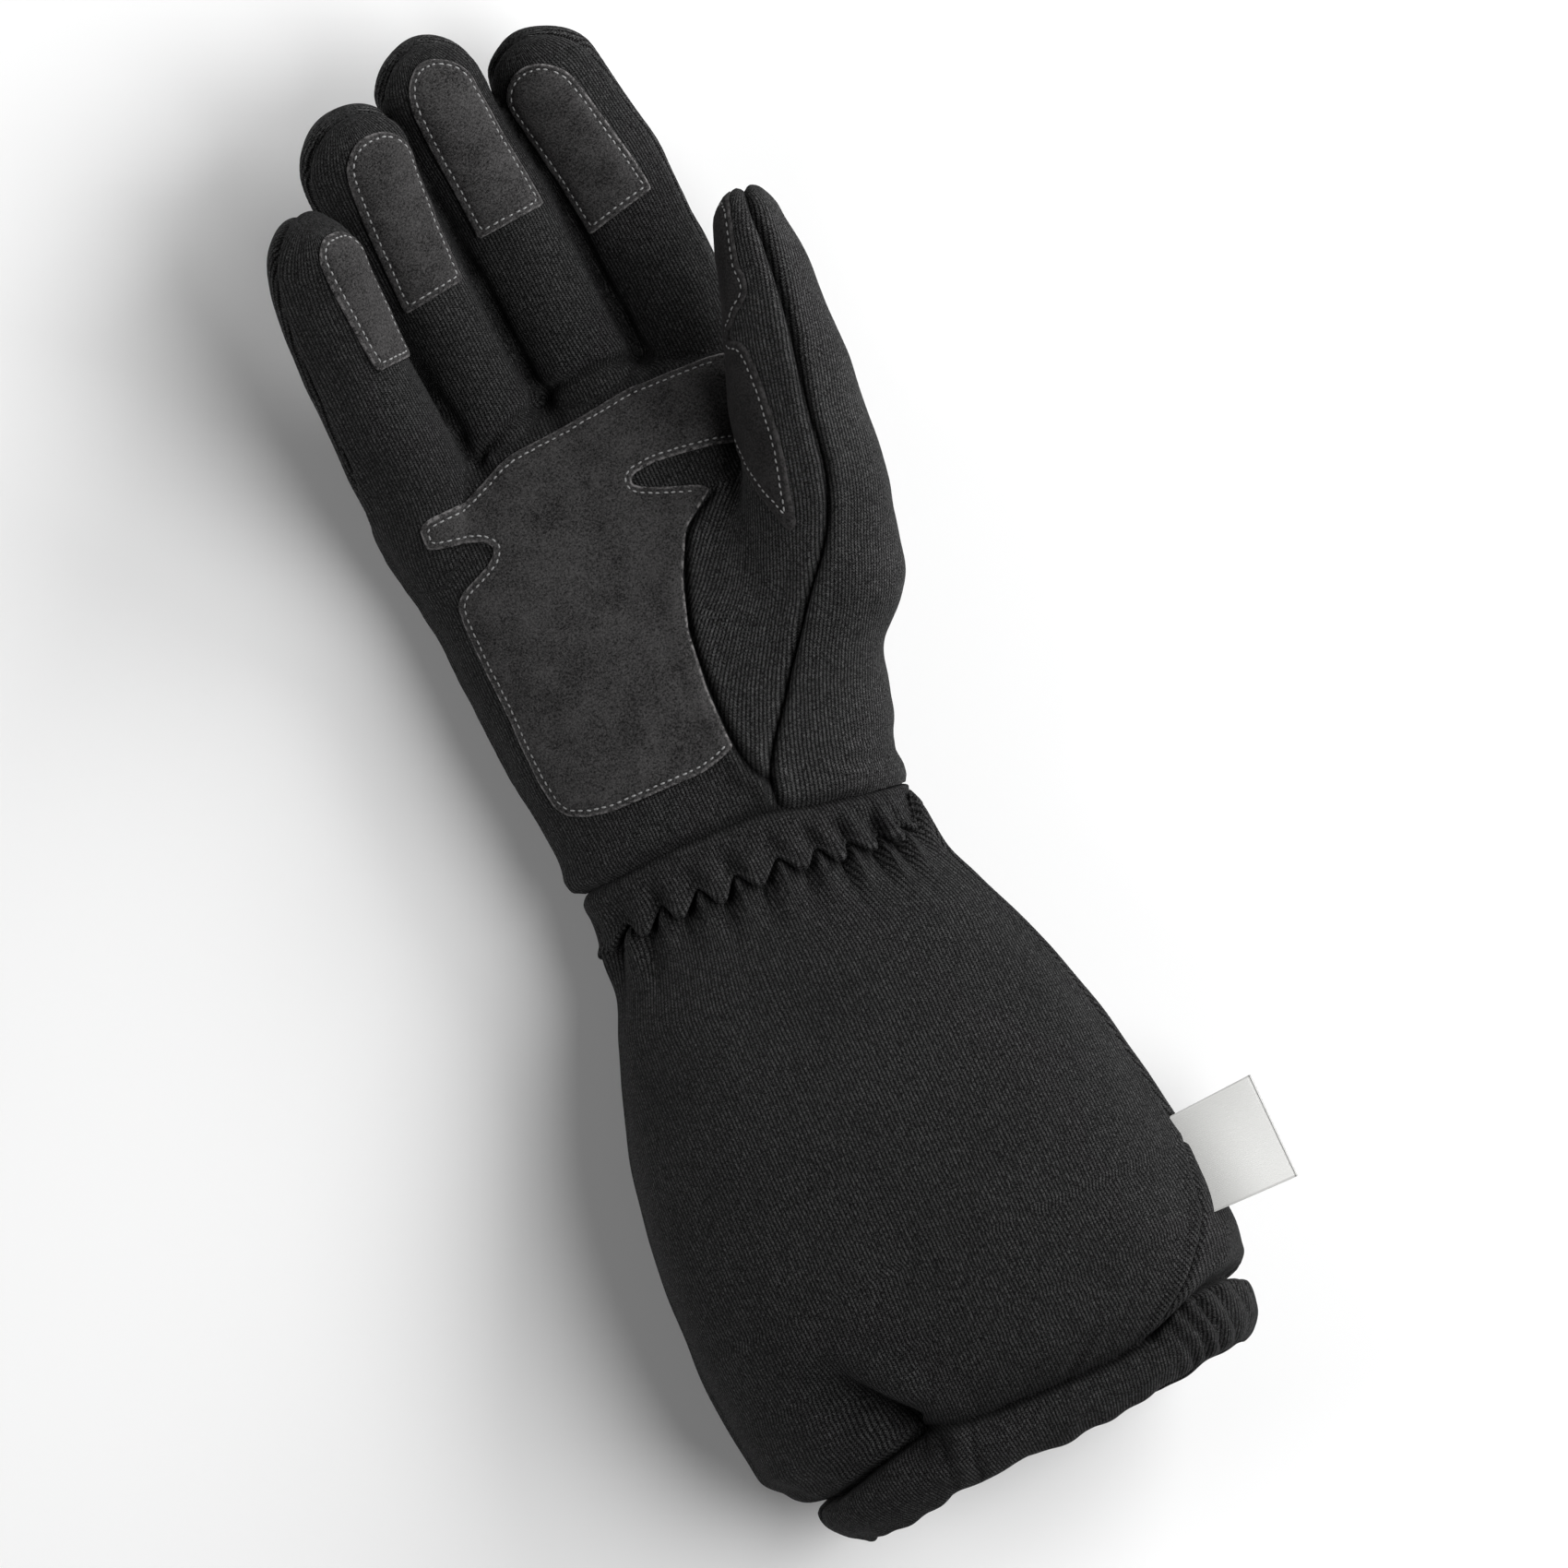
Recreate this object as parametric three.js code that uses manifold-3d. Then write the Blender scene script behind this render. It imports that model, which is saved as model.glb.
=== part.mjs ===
import * as THREE from 'three';
import { mergeVertices } from 'three/addons/utils/BufferGeometryUtils.js';
import Module from 'manifold-3d';

const wasm = await Module();
wasm.setup();

// Long-gauntlet racing glove for the right hand, lying on its back with the palm up.
// Millimetres. +X is the thumb side, +Y points to the fingertips, +Z is the palm side.
// The measurements below start at the middle of the wrist seam; the end of the file moves
// the whole glove so that the origin is the middle of its underside.

// Cloth, leather and seams
const WALL = 2.8;
const SEAM_GAP = 0.35;
const PATCH_THICKNESS = 1.3;
const LABEL_THICKNESS = 1.2;
const PATCH_CLEARANCE = PATCH_THICKNESS + 2 * SEAM_GAP;

// Facets
const GAUNTLET_SIDES = 60;
const LINING_SIDES = 28;
const HAND_FACETS = { sides: 24, places: 5 };
const HAND_LINING_FACETS = { sides: 16, places: 4 };
const DIGIT_FACETS = { sides: 14, places: 4, dome: 2 };
const DIGIT_LINING_FACETS = { sides: 8, places: 3, dome: 2 };
const HALF_SIDES = 4;
const SPLIT_PLACES = 5;
const FACET_TOLERANCE = 0.11;
const CLOTH_TOLERANCE = 0.3;

// Roundness of the cross-sections: 2 is an ellipse, more is squarer
const GAUNTLET_SQUARENESS = 2.25;
const HAND_SQUARENESS = 2.7;
const DIGIT_SQUARENESS = 2.2;

// A prism that cuts right through the glove, and corners well outside the glove for its outline
const CUT_DEPTH = 130;
const CUT_LOW = -15;
const OUTSIDE_LEFT = -90;
const OUTSIDE_RIGHT = 120;
const OUTSIDE_TOP = 240;
const OUTSIDE_BOTTOM = -240;
const BELOW_WRIST_Y = -20;
const ABOVE_WRIST_Y = 60;

// How far the regions that split a solid along its side seams reach past it
const BODY_MARGIN = { aside: 12, above: 60 };
const DIGIT_MARGIN = { before: 4, beyond: 6, aside: 5, above: 8 };

// A digit's dome takes this share of its length in the table; its facets start this far along it
const DOME_SHARE = 0.8;
const DOME_FIRST_FACET = 0.25;
const DOME_TIP = 0.03;

// Places along the glove
const HEM_FOLD_Y = -154;
const HAND_START_Y = -4;
const HAND_END_Y = 108;
const KNUCKLES_Y = 126;
const KNUCKLE_PLACES = [116, 122, KNUCKLES_Y];

// Side seams of the body, as shares of its height on the left and on the right, and where they run
const HAND_SPLIT = [0.52, 0.5];
const HAND_SPLIT_FROM_Y = -20;
const HAND_SPLIT_TO_Y = 120;
const HAND_SPLIT_END_Y = 135;
const HAND_SPLIT_PLACES = 14;
const GAUNTLET_SPLIT = [0.5, 0.62];
const GAUNTLET_SPLIT_FROM_Y = -185;
const GAUNTLET_SPLIT_TO_Y = 15;
const GAUNTLET_SPLIT_PLACES = 10;

// Gathers under the wrist: waves round the glove, deepest on the zigzag line
const WRIST_WAVES = 20;
const WRIST_WAVE_DEPTH = 1.1;
const WRIST_WAVE_Y = -9;
const WRIST_WAVE_REACH_UP = 9;
const WRIST_WAVE_REACH_DOWN = 16;

// Gathers over the hem
const HEM_WAVES = 16;
const HEM_WAVE_DEPTH = 1.1;
const HEM_WAVE_REACH = 13;
const HEM_FOLD_DEPTH = 2.2;
const HEM_FOLD_REACH = 4;

// One long fold runs down the gauntlet front into the hem
const FOLD_TOP = new THREE.Vector2(-36, -122);
const FOLD_END = new THREE.Vector2(-20, -153);
const FOLD_DEPTH = 4;
const FOLD_WIDTH = 7;

// Turns rows of numbers into records with named columns
function table(columns, rows) {
  const names = columns.split(' ');
  return rows.map((row) => Object.fromEntries(names.map((name, i) => [name, row[i]])));
}

// Body of the glove: silhouette from the palm side, and its lowest and highest line
const BODY = table('y left right bottom top', [
  [-171, -46, 62, 9, 60],
  [-164, -52.5, 68, 6, 63],
  [-154, -57.5, 72, 3.5, 66],
  [-146, -61.5, 74, 1, 71],
  [-126, -64.8, 75, -2.5, 77],
  [-106, -65, 72, -3, 78],
  [-88, -63.5, 69.3, -3, 76],
  [-66, -60, 65, -2, 71],
  [-48, -55.5, 60, 0, 64],
  [-30, -49, 53, 3, 55],
  [-18, -43.6, 48.2, 6, 48],
  [-6, -41, 47.4, 8, 44.5],
  [8, -42.2, 47.4, 8, 44.5],
  [22, -42.8, 48.8, 6, 45],
  [50, -45, 50, 1, 44],
  [80, -46.6, 53, -1.5, 42],
  [98, -48.6, 55.3, 0, 40.5],
  [109, -50, 57, 3.5, 39],
  [118, -49.5, 56.5, 7, 36],
  [KNUCKLES_Y, -43, 49, 13, 28],
]);

// Fingers and thumb: centre line, half width, half depth.
// roll turns the palm side of a digit towards the thumb; split is the height of its side seams.
const DIGITS = {
  little: {
    roll: 45, split: -1.2, dome: 13,
    spine: table('x y z a b', [
      [-36, 100, 24.5, 11.5, 12],
      [-35.7, 120, 30.5, 14.8, 13.2],
      [-36, 145, 42.5, 14, 12.8],
      [-36, 165, 54, 13.4, 12.4],
      [-34.8, 180, 63, 12.4, 11.8],
      [-31.5, 192.5, 72, 11.5, 11],
    ]),
  },
  ring: {
    roll: 15, split: 1.2, dome: 14,
    spine: table('x y z a b', [
      [-10.5, 100, 19.5, 12, 12],
      [-10.6, 122, 21, 12.6, 12.8],
      [-12, 150, 26.5, 12.4, 12.6],
      [-13.7, 175, 36.5, 13.2, 12.6],
      [-14.8, 197, 50, 14, 12.8],
      [-13, 214, 62, 13.5, 12.5],
    ]),
  },
  middle: {
    roll: 10, split: 1.2, dome: 14,
    spine: table('x y z a b', [
      [17, 100, 19, 12, 12],
      [16.6, 126, 19.5, 13.1, 13.1],
      [14.4, 150, 22.5, 13.5, 13],
      [13.2, 175, 29, 13.8, 12.8],
      [10.6, 200, 39, 13.7, 12.6],
      [9.5, 223, 51, 13, 12.2],
    ]),
  },
  index: {
    roll: -10, split: 1.2, dome: 14,
    spine: table('x y z a b', [
      [43.4, 100, 18.5, 11.5, 12],
      [44, 126, 17.5, 13.3, 13.1],
      [43.3, 150, 18.5, 13.7, 13],
      [41.9, 175, 22.5, 14.1, 12.8],
      [39.6, 195, 29.5, 14, 12.6],
      [36, 214, 39.5, 13, 12],
    ]),
  },
  thumb: {
    roll: -35, split: 0, dome: 12,
    spine: table('x y z a b', [
      [27, 10, 26, 17, 17],
      [35, 33, 28.5, 19, 17.5],
      [40.8, 45, 31.2, 19.4, 17.5],
      [48.8, 57, 34, 22.3, 17.5],
      [53.5, 68, 37.4, 20.7, 17.1],
      [58, 80, 41, 18.6, 16.5],
      [62.1, 100, 47, 16.3, 15.2],
      [65.4, 120, 52, 13.8, 14],
      [68.2, 138, 56, 11.6, 12.6],
      [71.2, 154, 59.5, 10, 11.5],
    ]),
  },
};
const FINGERS = ['little', 'ring', 'middle', 'index'];

// Seam between the hand and the gathered band of the wrist
const WRIST_SEAM = [
  [-60, 8.4], [-35, 8.4], [-15, 9.4], [5, 8.6], [14, 7.2], [22, 4.4], [34, 1.8], [46, 0], [62, 0],
];

// The band's lower edge is a zigzag; its pitch shortens towards the thumb side
const ZIGZAG_MIDDLE_Y = -5.4;
const ZIGZAG_HEIGHT = 6;
const ZIGZAG_START_X = -56;
const ZIGZAG_END_X = 62;
const ZIGZAG_PITCH = 10.5;
const ZIGZAG_PITCH_LOSS = 0.22;
const ZIGZAG_DROP = 0.085;

// Seam of the palm panel with the thumb panel, from the wrist up to the thumb's crotch
const GUSSET_SEAM = [
  [15, 14.5], [12, 19], [10.3, 27], [10.6, 42], [12.5, 58], [17, 71], [23, 82], [33, 88],
];

// Seam of the thumb panel with the back panel, from the wrist up to the thumb's tip
const THUMB_SEAM = [
  [15, 5], [15, 15], [27, 33], [43, 53], [54, 66], [60.5, 80], [63.5, 97], [68.5, 120], [71, 138],
  [73, 158],
];

// The thumb panel: the corner of its ball at the crotch, and the limits of its ball and tube
const BALL_CORNER = [66, 98];
const BALL_TOP_Y = 90;
const TUBE_BOTTOM_Y = 60;
const TUBE_TOP_Y = 165;
const TUBE_LEFT = 20;

// Suede on the palm: its curved outline runs up the left side, along the finger creases, down the
// slit at the thumb and along the gusset seam
const PALM_PATCH = [
  [-36, 28.5], [-38.4, 34], [-38.9, 60], [-39.2, 84], [-38.4, 89.5], [-33, 92.8], [-26, 95.8],
  [-24, 98.5], [-26.5, 101.2], [-34, 103.8], [-39, 105.8], [-38.8, 111], [-34, 112], [-25, 112],
  [-18, 115.4], [-10, 117.8], [4, 118.8], [24, 120.4], [42, 119.8], [51, 118], [50, 95],
  [40, 97.8], [28, 100.4], [18, 101], [14.6, 98.8], [17, 96.4], [27, 92], [32.4, 88.9],
  [22.4, 82.5], [16.4, 71.2], [11.9, 58], [10, 42], [9.7, 27.5], [0, 24], [-16, 24.3], [-28, 25.2],
];

// Suede on the fingers: width limits, base and tip seen from the palm side
const PATCH_CORNER_FACETS = 4;
const PALM_PATCH_LOW = 24;
const FINGER_PATCHES = {
  little: { left: -33, right: -18, base: 150.5, tip: 187.5, lean: -0.5, slope: 0, corner: 7 },
  ring: { left: -20.4, right: 1.5, base: 162.6, tip: 206, lean: -0.8, slope: 0.1, corner: 9 },
  middle: { left: 5, right: 25.4, base: 172, tip: 218, lean: -2.4, slope: 0.08, corner: 10 },
  index: { left: 32, right: 51.5, base: 163, tip: 207, lean: -6.5, slope: 0.22, corner: 9 },
};

// Suede on the thumb: the edge that shows, with a notch at the joint
const THUMB_PATCH_EDGE = [
  [46, 70], [49, 78], [52, 87], [53.4, 96], [54, 108], [55.2, 116], [53.4, 119.6], [46, 121],
  [46, 124.4], [55, 125.2], [60, 127], [62.4, 131.5], [64, 142], [65.5, 152],
];
const THUMB_PATCH_LEFT = 30;

// White folded label in the side seam; its free end slides down, its upper corner less than its lower
const LABEL = {
  near: 64, far: 93.5, top: -106, bottom: -131.5, z: 44, droop: 7, slide: -3, upper: 0.4, rows: 6,
};

// Value of a table's column at a place along it, on a smooth curve through the rows
function read(rows, key, column, value) {
  const last = rows.length - 1;
  let i = 0;
  while (i < last - 1 && value > rows[i + 1][key]) i += 1;
  const a = rows[i];
  const b = rows[i + 1];
  const before = rows[Math.max(i - 1, 0)];
  const after = rows[Math.min(i + 2, last)];
  const span = b[key] - a[key];
  const t = THREE.MathUtils.clamp((value - a[key]) / span, 0, 1);
  const slopeA = ((b[column] - before[column]) / (b[key] - before[key])) * span;
  const slopeB = ((after[column] - a[column]) / (after[key] - a[key])) * span;
  const fall = 1 - t;
  return fall * fall * (1 + 2 * t) * a[column] + t * t * (3 - 2 * t) * b[column]
    + t * fall * (fall * slopeA - t * slopeB);
}

// Solid of a geometry, for joining and cutting
function solid(geometry) {
  const plain = new THREE.BufferGeometry();
  plain.setAttribute('position', geometry.getAttribute('position'));
  if (geometry.index) plain.setIndex(geometry.index);
  const welded = mergeVertices(plain, 1e-4);
  return new wasm.Manifold(new wasm.Mesh({
    numProp: 3,
    vertProperties: new Float32Array(welded.getAttribute('position').array),
    triVerts: new Uint32Array(welded.index.array),
  }));
}

// Solid through a row of rings with the same number of points, which turn from +X or -Y to +Z
function loft(rings) {
  const sides = rings[0].length;
  const points = rings.flat();
  const faces = [];
  for (let r = 0; r < rings.length - 1; r += 1) {
    for (let s = 0; s < sides; s += 1) {
      const a = r * sides + s;
      const b = r * sides + ((s + 1) % sides);
      faces.push(a, b + sides, b, a, a + sides, b + sides);
    }
  }
  for (const [ring, flip] of [[0, false], [rings.length - 1, true]]) {
    const middle = rings[ring].reduce((sum, p) => sum.add(p), new THREE.Vector3()).divideScalar(sides);
    const hub = points.push(middle) - 1;
    for (let s = 0; s < sides; s += 1) {
      const a = ring * sides + s;
      const b = ring * sides + ((s + 1) % sides);
      faces.push(hub, ...(flip ? [b, a] : [a, b]));
    }
  }
  const geometry = new THREE.BufferGeometry().setFromPoints(points);
  geometry.setIndex(faces);
  return solid(geometry);
}

// Solid straight up and down through the glove over an outline drawn on the palm side
function prism(outline, low = CUT_LOW) {
  const shape = new THREE.Shape(outline.map(([x, y]) => new THREE.Vector2(x, y)));
  const geometry = new THREE.ExtrudeGeometry(shape, { depth: CUT_DEPTH, bevelEnabled: false });
  return solid(geometry.translate(0, 0, low));
}

// Signed power that turns a circle into a squarer round
function squared(value, squareness) {
  return Math.sign(value) * Math.abs(value) ** (2 / squareness);
}

// A bell that is 1 in the middle and fades within its reach
function bell(distance, reach) {
  return Math.exp(-((distance / reach) ** 2));
}

// How far the cloth of the gauntlet stands in or out at a place and an angle round the glove
function gathers(y, angle) {
  const reach = y > WRIST_WAVE_Y ? WRIST_WAVE_REACH_UP : WRIST_WAVE_REACH_DOWN;
  const wrist = WRIST_WAVE_DEPTH * bell(y - WRIST_WAVE_Y, reach) * Math.cos(WRIST_WAVES * angle);
  const hem = HEM_WAVE_DEPTH * bell(y - HEM_FOLD_Y, HEM_WAVE_REACH) * Math.cos(HEM_WAVES * angle);
  const crease = HEM_FOLD_DEPTH * bell(y - HEM_FOLD_Y, HEM_FOLD_REACH);
  return wrist + hem - crease;
}

// Depth of the long fold at a place on the gauntlet front
function longFold(x, y) {
  const along = FOLD_END.clone().sub(FOLD_TOP);
  const place = new THREE.Vector2(x, y).sub(FOLD_TOP);
  const t = THREE.MathUtils.clamp(place.dot(along) / along.lengthSq(), 0, 1);
  const aside = place.sub(along.multiplyScalar(t)).length();
  return FOLD_DEPTH * t * bell(aside, FOLD_WIDTH);
}

function bodySize(y) {
  return ['left', 'right', 'bottom', 'top'].map((column) => read(BODY, 'y', column, y));
}

// Ring of points round the body at y; grow moves the surface out, the floor flattens it
function bodyRing(y, sides, grow, squareness, gathered) {
  const [left, right, bottom, top] = bodySize(y);
  const ring = [];
  for (let s = 0; s < sides; s += 1) {
    const angle = (s / sides) * Math.PI * 2;
    const out = grow + (gathered ? gathers(y, angle) : 0);
    const x = (left + right) / 2 + ((right - left) / 2 + out) * squared(Math.cos(angle), squareness);
    let z = (top + bottom) / 2 + ((top - bottom) / 2 + out) * squared(Math.sin(angle), squareness);
    if (Math.sin(angle) > 0) z -= longFold(x, y);
    ring.push(new THREE.Vector3(x, y, Math.max(z, Math.max(-grow, 0))));
  }
  return ring;
}

// Steps from one value to another, both included
function steps(from, to, count) {
  return Array.from({ length: count + 1 }, (_, i) => from + ((to - from) * i) / count);
}

// Gauntlet, band and hem as one closed body
const GAUNTLET_Y = [
  -170, -166, -160, -154, -149, -138, -120, -98, -74, -54, -39, -28, -19, -13, -8, -3, 3, 12,
];
const GAUNTLET_LINING_Y = [-180, -160, -150, -130, -105, -80, -55, -35, -18, -4, 12];

function gauntletBody(grow) {
  return loft(GAUNTLET_Y.map((y) => bodyRing(y, GAUNTLET_SIDES, grow, GAUNTLET_SQUARENESS, true)));
}

function gauntletHollow() {
  return loft(GAUNTLET_LINING_Y.map((y) => bodyRing(y, LINING_SIDES, -WALL, GAUNTLET_SQUARENESS, false)));
}

function handBody(grow) {
  const { sides, places: count } = grow < 0 ? HAND_LINING_FACETS : HAND_FACETS;
  const places = [...steps(HAND_START_Y, HAND_END_Y, count), ...KNUCKLE_PLACES];
  const ends = places.map((y) => (y === KNUCKLES_Y ? y + grow : y));
  return loft(ends.map((y) => bodyRing(y, sides, grow, HAND_SQUARENESS, false)));
}

// Centre, directions and half sizes of a digit's section at y
function digitSection(digit, y) {
  const point = (at) => new THREE.Vector3(...['x', 'y', 'z'].map((c) => read(digit.spine, 'y', c, at)));
  const tip = digit.spine.at(-1).y;
  const ahead = Math.min(y + 1, tip);
  const along = point(ahead).sub(point(ahead - 2)).normalize();
  const roll = THREE.MathUtils.degToRad(digit.roll);
  const up = new THREE.Vector3(Math.sin(roll), 0, Math.cos(roll));
  up.addScaledVector(along, -up.dot(along)).normalize();
  const side = new THREE.Vector3().crossVectors(up, along).negate();
  const centre = point(Math.min(y, tip)).addScaledVector(along, Math.max(y - tip, 0) / along.y);
  return { centre, along, up, side, a: read(digit.spine, 'y', 'a', y), b: read(digit.spine, 'y', 'b', y) };
}

// Places along a digit, closer together on its domed tip
function digitPlaces(digit, grow, { places: count, dome: domeCount }) {
  const first = digit.spine[0].y;
  const tip = digit.spine.at(-1).y + grow * DOME_SHARE;
  const domeStart = tip - digit.dome * DOME_SHARE;
  const dome = steps(DOME_FIRST_FACET, 1, domeCount)
    .map((t) => domeStart + (tip - domeStart) * Math.sin((t * Math.PI) / 2));
  const places = [...steps(first, domeStart, count), ...dome.slice(0, -1), tip - DOME_TIP];
  return { places, domeStart, tip };
}

// Finger or thumb as a tube with a domed tip
function digitBody(digit, grow) {
  const facets = grow < 0 ? DIGIT_LINING_FACETS : DIGIT_FACETS;
  const { places, domeStart, tip } = digitPlaces(digit, grow, facets);
  const floor = Math.max(-grow, 0);
  return loft(places.map((y) => {
    const { centre, up, side, a, b } = digitSection(digit, y);
    const over = Math.max(y - domeStart, 0) / (tip - domeStart);
    const round = Math.sqrt(1 - over * over);
    return steps(0, Math.PI * 2, facets.sides).slice(0, -1).map((angle) => {
      const point = centre.clone()
        .addScaledVector(side, (a + grow) * round * squared(Math.cos(angle), DIGIT_SQUARENESS))
        .addScaledVector(up, (b + grow) * round * squared(Math.sin(angle), DIGIT_SQUARENESS));
      return point.setZ(Math.max(point.z, floor));
    });
  }));
}

// Everything on the palm side of a digit's side seams
function digitPalmSide(digit, grow) {
  const { before, beyond, aside, above } = DIGIT_MARGIN;
  const first = digit.spine[0].y;
  const tip = digit.spine.at(-1).y;
  return loft(steps(first - before, tip + beyond, SPLIT_PLACES).map((y) => {
    const { centre, up, side, a, b } = digitSection(digit, Math.max(y, first));
    const start = centre.clone().setY(centre.y + Math.min(y - first, 0));
    return steps(0, Math.PI, HALF_SIDES).map((angle) => start.clone()
      .addScaledVector(side, (a + aside) * Math.cos(angle))
      .addScaledVector(up, digit.split - grow + (b + above) * Math.sin(angle)));
  }));
}

// Everything above the side seams of the body, which lie at the same share of its height all along
function bodyPalmSide(places, [leftShare, rightShare], grow) {
  const { aside: out, above } = BODY_MARGIN;
  return loft(places.map((y) => {
    const [left, right, bottom, top] = bodySize(y);
    const zLeft = bottom + (top - bottom) * leftShare - grow;
    const zRight = bottom + (top - bottom) * rightShare - grow;
    return [
      new THREE.Vector3(right + out, y, zRight),
      new THREE.Vector3(right + out, y, top + above),
      new THREE.Vector3(left - out, y, top + above),
      new THREE.Vector3(left - out, y, zLeft),
    ];
  }));
}

// Outline moved sideways and along
function shifted(outline, dx, dy) {
  return outline.map(([x, y]) => [x + dx, y + dy]);
}

// Zigzag from one side of the wrist to the other
function zigzagLine() {
  const line = [];
  let pitch = ZIGZAG_PITCH;
  for (let x = ZIGZAG_START_X, up = 1; x < ZIGZAG_END_X; x += pitch / 2, up = -up) {
    line.push([x, ZIGZAG_MIDDLE_Y - ZIGZAG_DROP * Math.max(x, 0) + (up * ZIGZAG_HEIGHT) / 2]);
    pitch -= ZIGZAG_PITCH_LOSS;
  }
  return line;
}

// Part of a solid inside a region, with one or more other regions cut away
function piece(from, inside, ...without) {
  const kept = inside ? from.intersect(inside) : from;
  const cut = without.reduce((rest, region) => rest.subtract(region), kept);
  const bodies = cut.decompose().sort((one, two) => two.volume() - one.volume());
  return bodies[0].simplify(FACET_TOLERANCE);
}

function unite(parts) {
  return parts.reduce((sum, part) => sum.add(part));
}

// Hand: shells
const handPlaces = [...steps(HAND_SPLIT_FROM_Y, HAND_SPLIT_TO_Y, HAND_SPLIT_PLACES), HAND_SPLIT_END_Y];

function handSolid(grow) {
  return unite([handBody(grow), ...Object.values(DIGITS).map((digit) => digitBody(digit, grow))]);
}

function palmSide(grow) {
  const digits = FINGERS.map((name) => digitBody(DIGITS[name], grow)
    .intersect(digitPalmSide(DIGITS[name], grow)));
  return unite([handBody(grow).intersect(bodyPalmSide(handPlaces, HAND_SPLIT, grow)), ...digits]);
}

// Region of the thumb panel: between its two seams on the body, and the inner half of the thumb
function thumbSide(grow) {
  const gusset = shifted(GUSSET_SEAM, -grow, grow);
  const seam = shifted(THUMB_SEAM.slice(1), grow, -grow);
  const corner = BALL_CORNER.map((value) => value + grow);
  const [lowX, lowY] = GUSSET_SEAM[0];
  const point = grow > 0 ? [[lowX, lowY - 2 * grow]] : [];
  const ball = prism([...point, ...gusset, corner, ...seam.filter(([, y]) => y < BALL_TOP_Y).reverse()]);
  const alongTube = seam.filter(([, y]) => y > TUBE_BOTTOM_Y);
  const tube = prism([[TUBE_LEFT, TUBE_BOTTOM_Y - grow], ...alongTube, [TUBE_LEFT, TUBE_TOP_Y]]);
  const above = bodyPalmSide(handPlaces, HAND_SPLIT, grow);
  return ball.intersect(above).add(digitBody(DIGITS.thumb, grow).intersect(tube));
}

// Region on the thumb side of the thumb seam, where the back panel wraps onto the palm side
function wrappedSide(grow) {
  const [startX] = THUMB_SEAM[0];
  const endY = THUMB_SEAM.at(-1)[1];
  return prism([
    ...shifted(THUMB_SEAM, -grow, grow), [OUTSIDE_RIGHT, endY], [OUTSIDE_RIGHT, BELOW_WRIST_Y],
    [startX - grow, BELOW_WRIST_Y],
  ]);
}

const handHollow = handSolid(-WALL);
const aboveWrist = prism([...WRIST_SEAM, [OUTSIDE_RIGHT, OUTSIDE_TOP], [OUTSIDE_LEFT, OUTSIDE_TOP]]);
const handShell = handSolid(0).subtract(handHollow).intersect(aboveWrist);

const palmPanel = piece(handShell, palmSide(0), thumbSide(SEAM_GAP), wrappedSide(SEAM_GAP));
const thumbPanel = piece(handShell, thumbSide(0));
const palmRegion = palmSide(SEAM_GAP).subtract(wrappedSide(0));
const backPanel = piece(handShell, null, palmRegion, thumbSide(SEAM_GAP));

// Gauntlet: band, front, back and hem
const gauntletPlaces = steps(GAUNTLET_SPLIT_FROM_Y, GAUNTLET_SPLIT_TO_Y, GAUNTLET_SPLIT_PLACES);
const gauntletShell = gauntletBody(0).subtract(gauntletHollow()).simplify(CLOTH_TOLERANCE);
const belowWrist = prism([
  ...shifted(WRIST_SEAM, 0, -SEAM_GAP), [OUTSIDE_RIGHT, OUTSIDE_BOTTOM], [OUTSIDE_LEFT, OUTSIDE_BOTTOM],
]);
const zigzag = zigzagLine();
const zigzagLeft = zigzag[0][1];
const zigzagRight = zigzag.at(-1)[1];
const aboveZigzag = prism([
  [OUTSIDE_LEFT, zigzagLeft], ...zigzag, [OUTSIDE_RIGHT, zigzagRight], [OUTSIDE_RIGHT, ABOVE_WRIST_Y],
  [OUTSIDE_LEFT, ABOVE_WRIST_Y],
]);
const belowZigzag = prism([
  [OUTSIDE_LEFT, zigzagLeft - SEAM_GAP], ...shifted(zigzag, 0, -2 * SEAM_GAP),
  [OUTSIDE_RIGHT, zigzagRight - SEAM_GAP], [OUTSIDE_RIGHT, OUTSIDE_BOTTOM], [OUTSIDE_LEFT, OUTSIDE_BOTTOM],
]);
const hemTop = HEM_FOLD_Y - SEAM_GAP;
const hemRegion = prism([
  [OUTSIDE_LEFT, hemTop], [OUTSIDE_RIGHT, hemTop], [OUTSIDE_RIGHT, OUTSIDE_BOTTOM],
  [OUTSIDE_LEFT, OUTSIDE_BOTTOM],
]);
const aboveHem = prism([
  [OUTSIDE_LEFT, HEM_FOLD_Y], [OUTSIDE_RIGHT, HEM_FOLD_Y], [OUTSIDE_RIGHT, ABOVE_WRIST_Y],
  [OUTSIDE_LEFT, ABOVE_WRIST_Y],
]);
const gauntletTube = gauntletShell.intersect(belowZigzag).intersect(aboveHem);

const wristBand = piece(gauntletShell, aboveZigzag.intersect(belowWrist));
const gauntletFront = piece(gauntletTube, bodyPalmSide(gauntletPlaces, GAUNTLET_SPLIT, 0));
const gauntletBack = piece(gauntletTube, null, bodyPalmSide(gauntletPlaces, GAUNTLET_SPLIT, SEAM_GAP));
const hem = piece(gauntletShell, hemRegion);

// Suede patches: a layer just outside the cloth
function layer(shape) {
  return shape(SEAM_GAP + PATCH_THICKNESS).subtract(shape(SEAM_GAP));
}

function handWithoutThumb(grow) {
  return unite([handBody(grow), ...FINGERS.map((name) => digitBody(DIGITS[name], grow))]);
}

const palmLayer = layer(handWithoutThumb);
const palmPatch = piece(palmLayer, prism(PALM_PATCH, PALM_PATCH_LOW), digitBody(DIGITS.thumb, SEAM_GAP));

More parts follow.
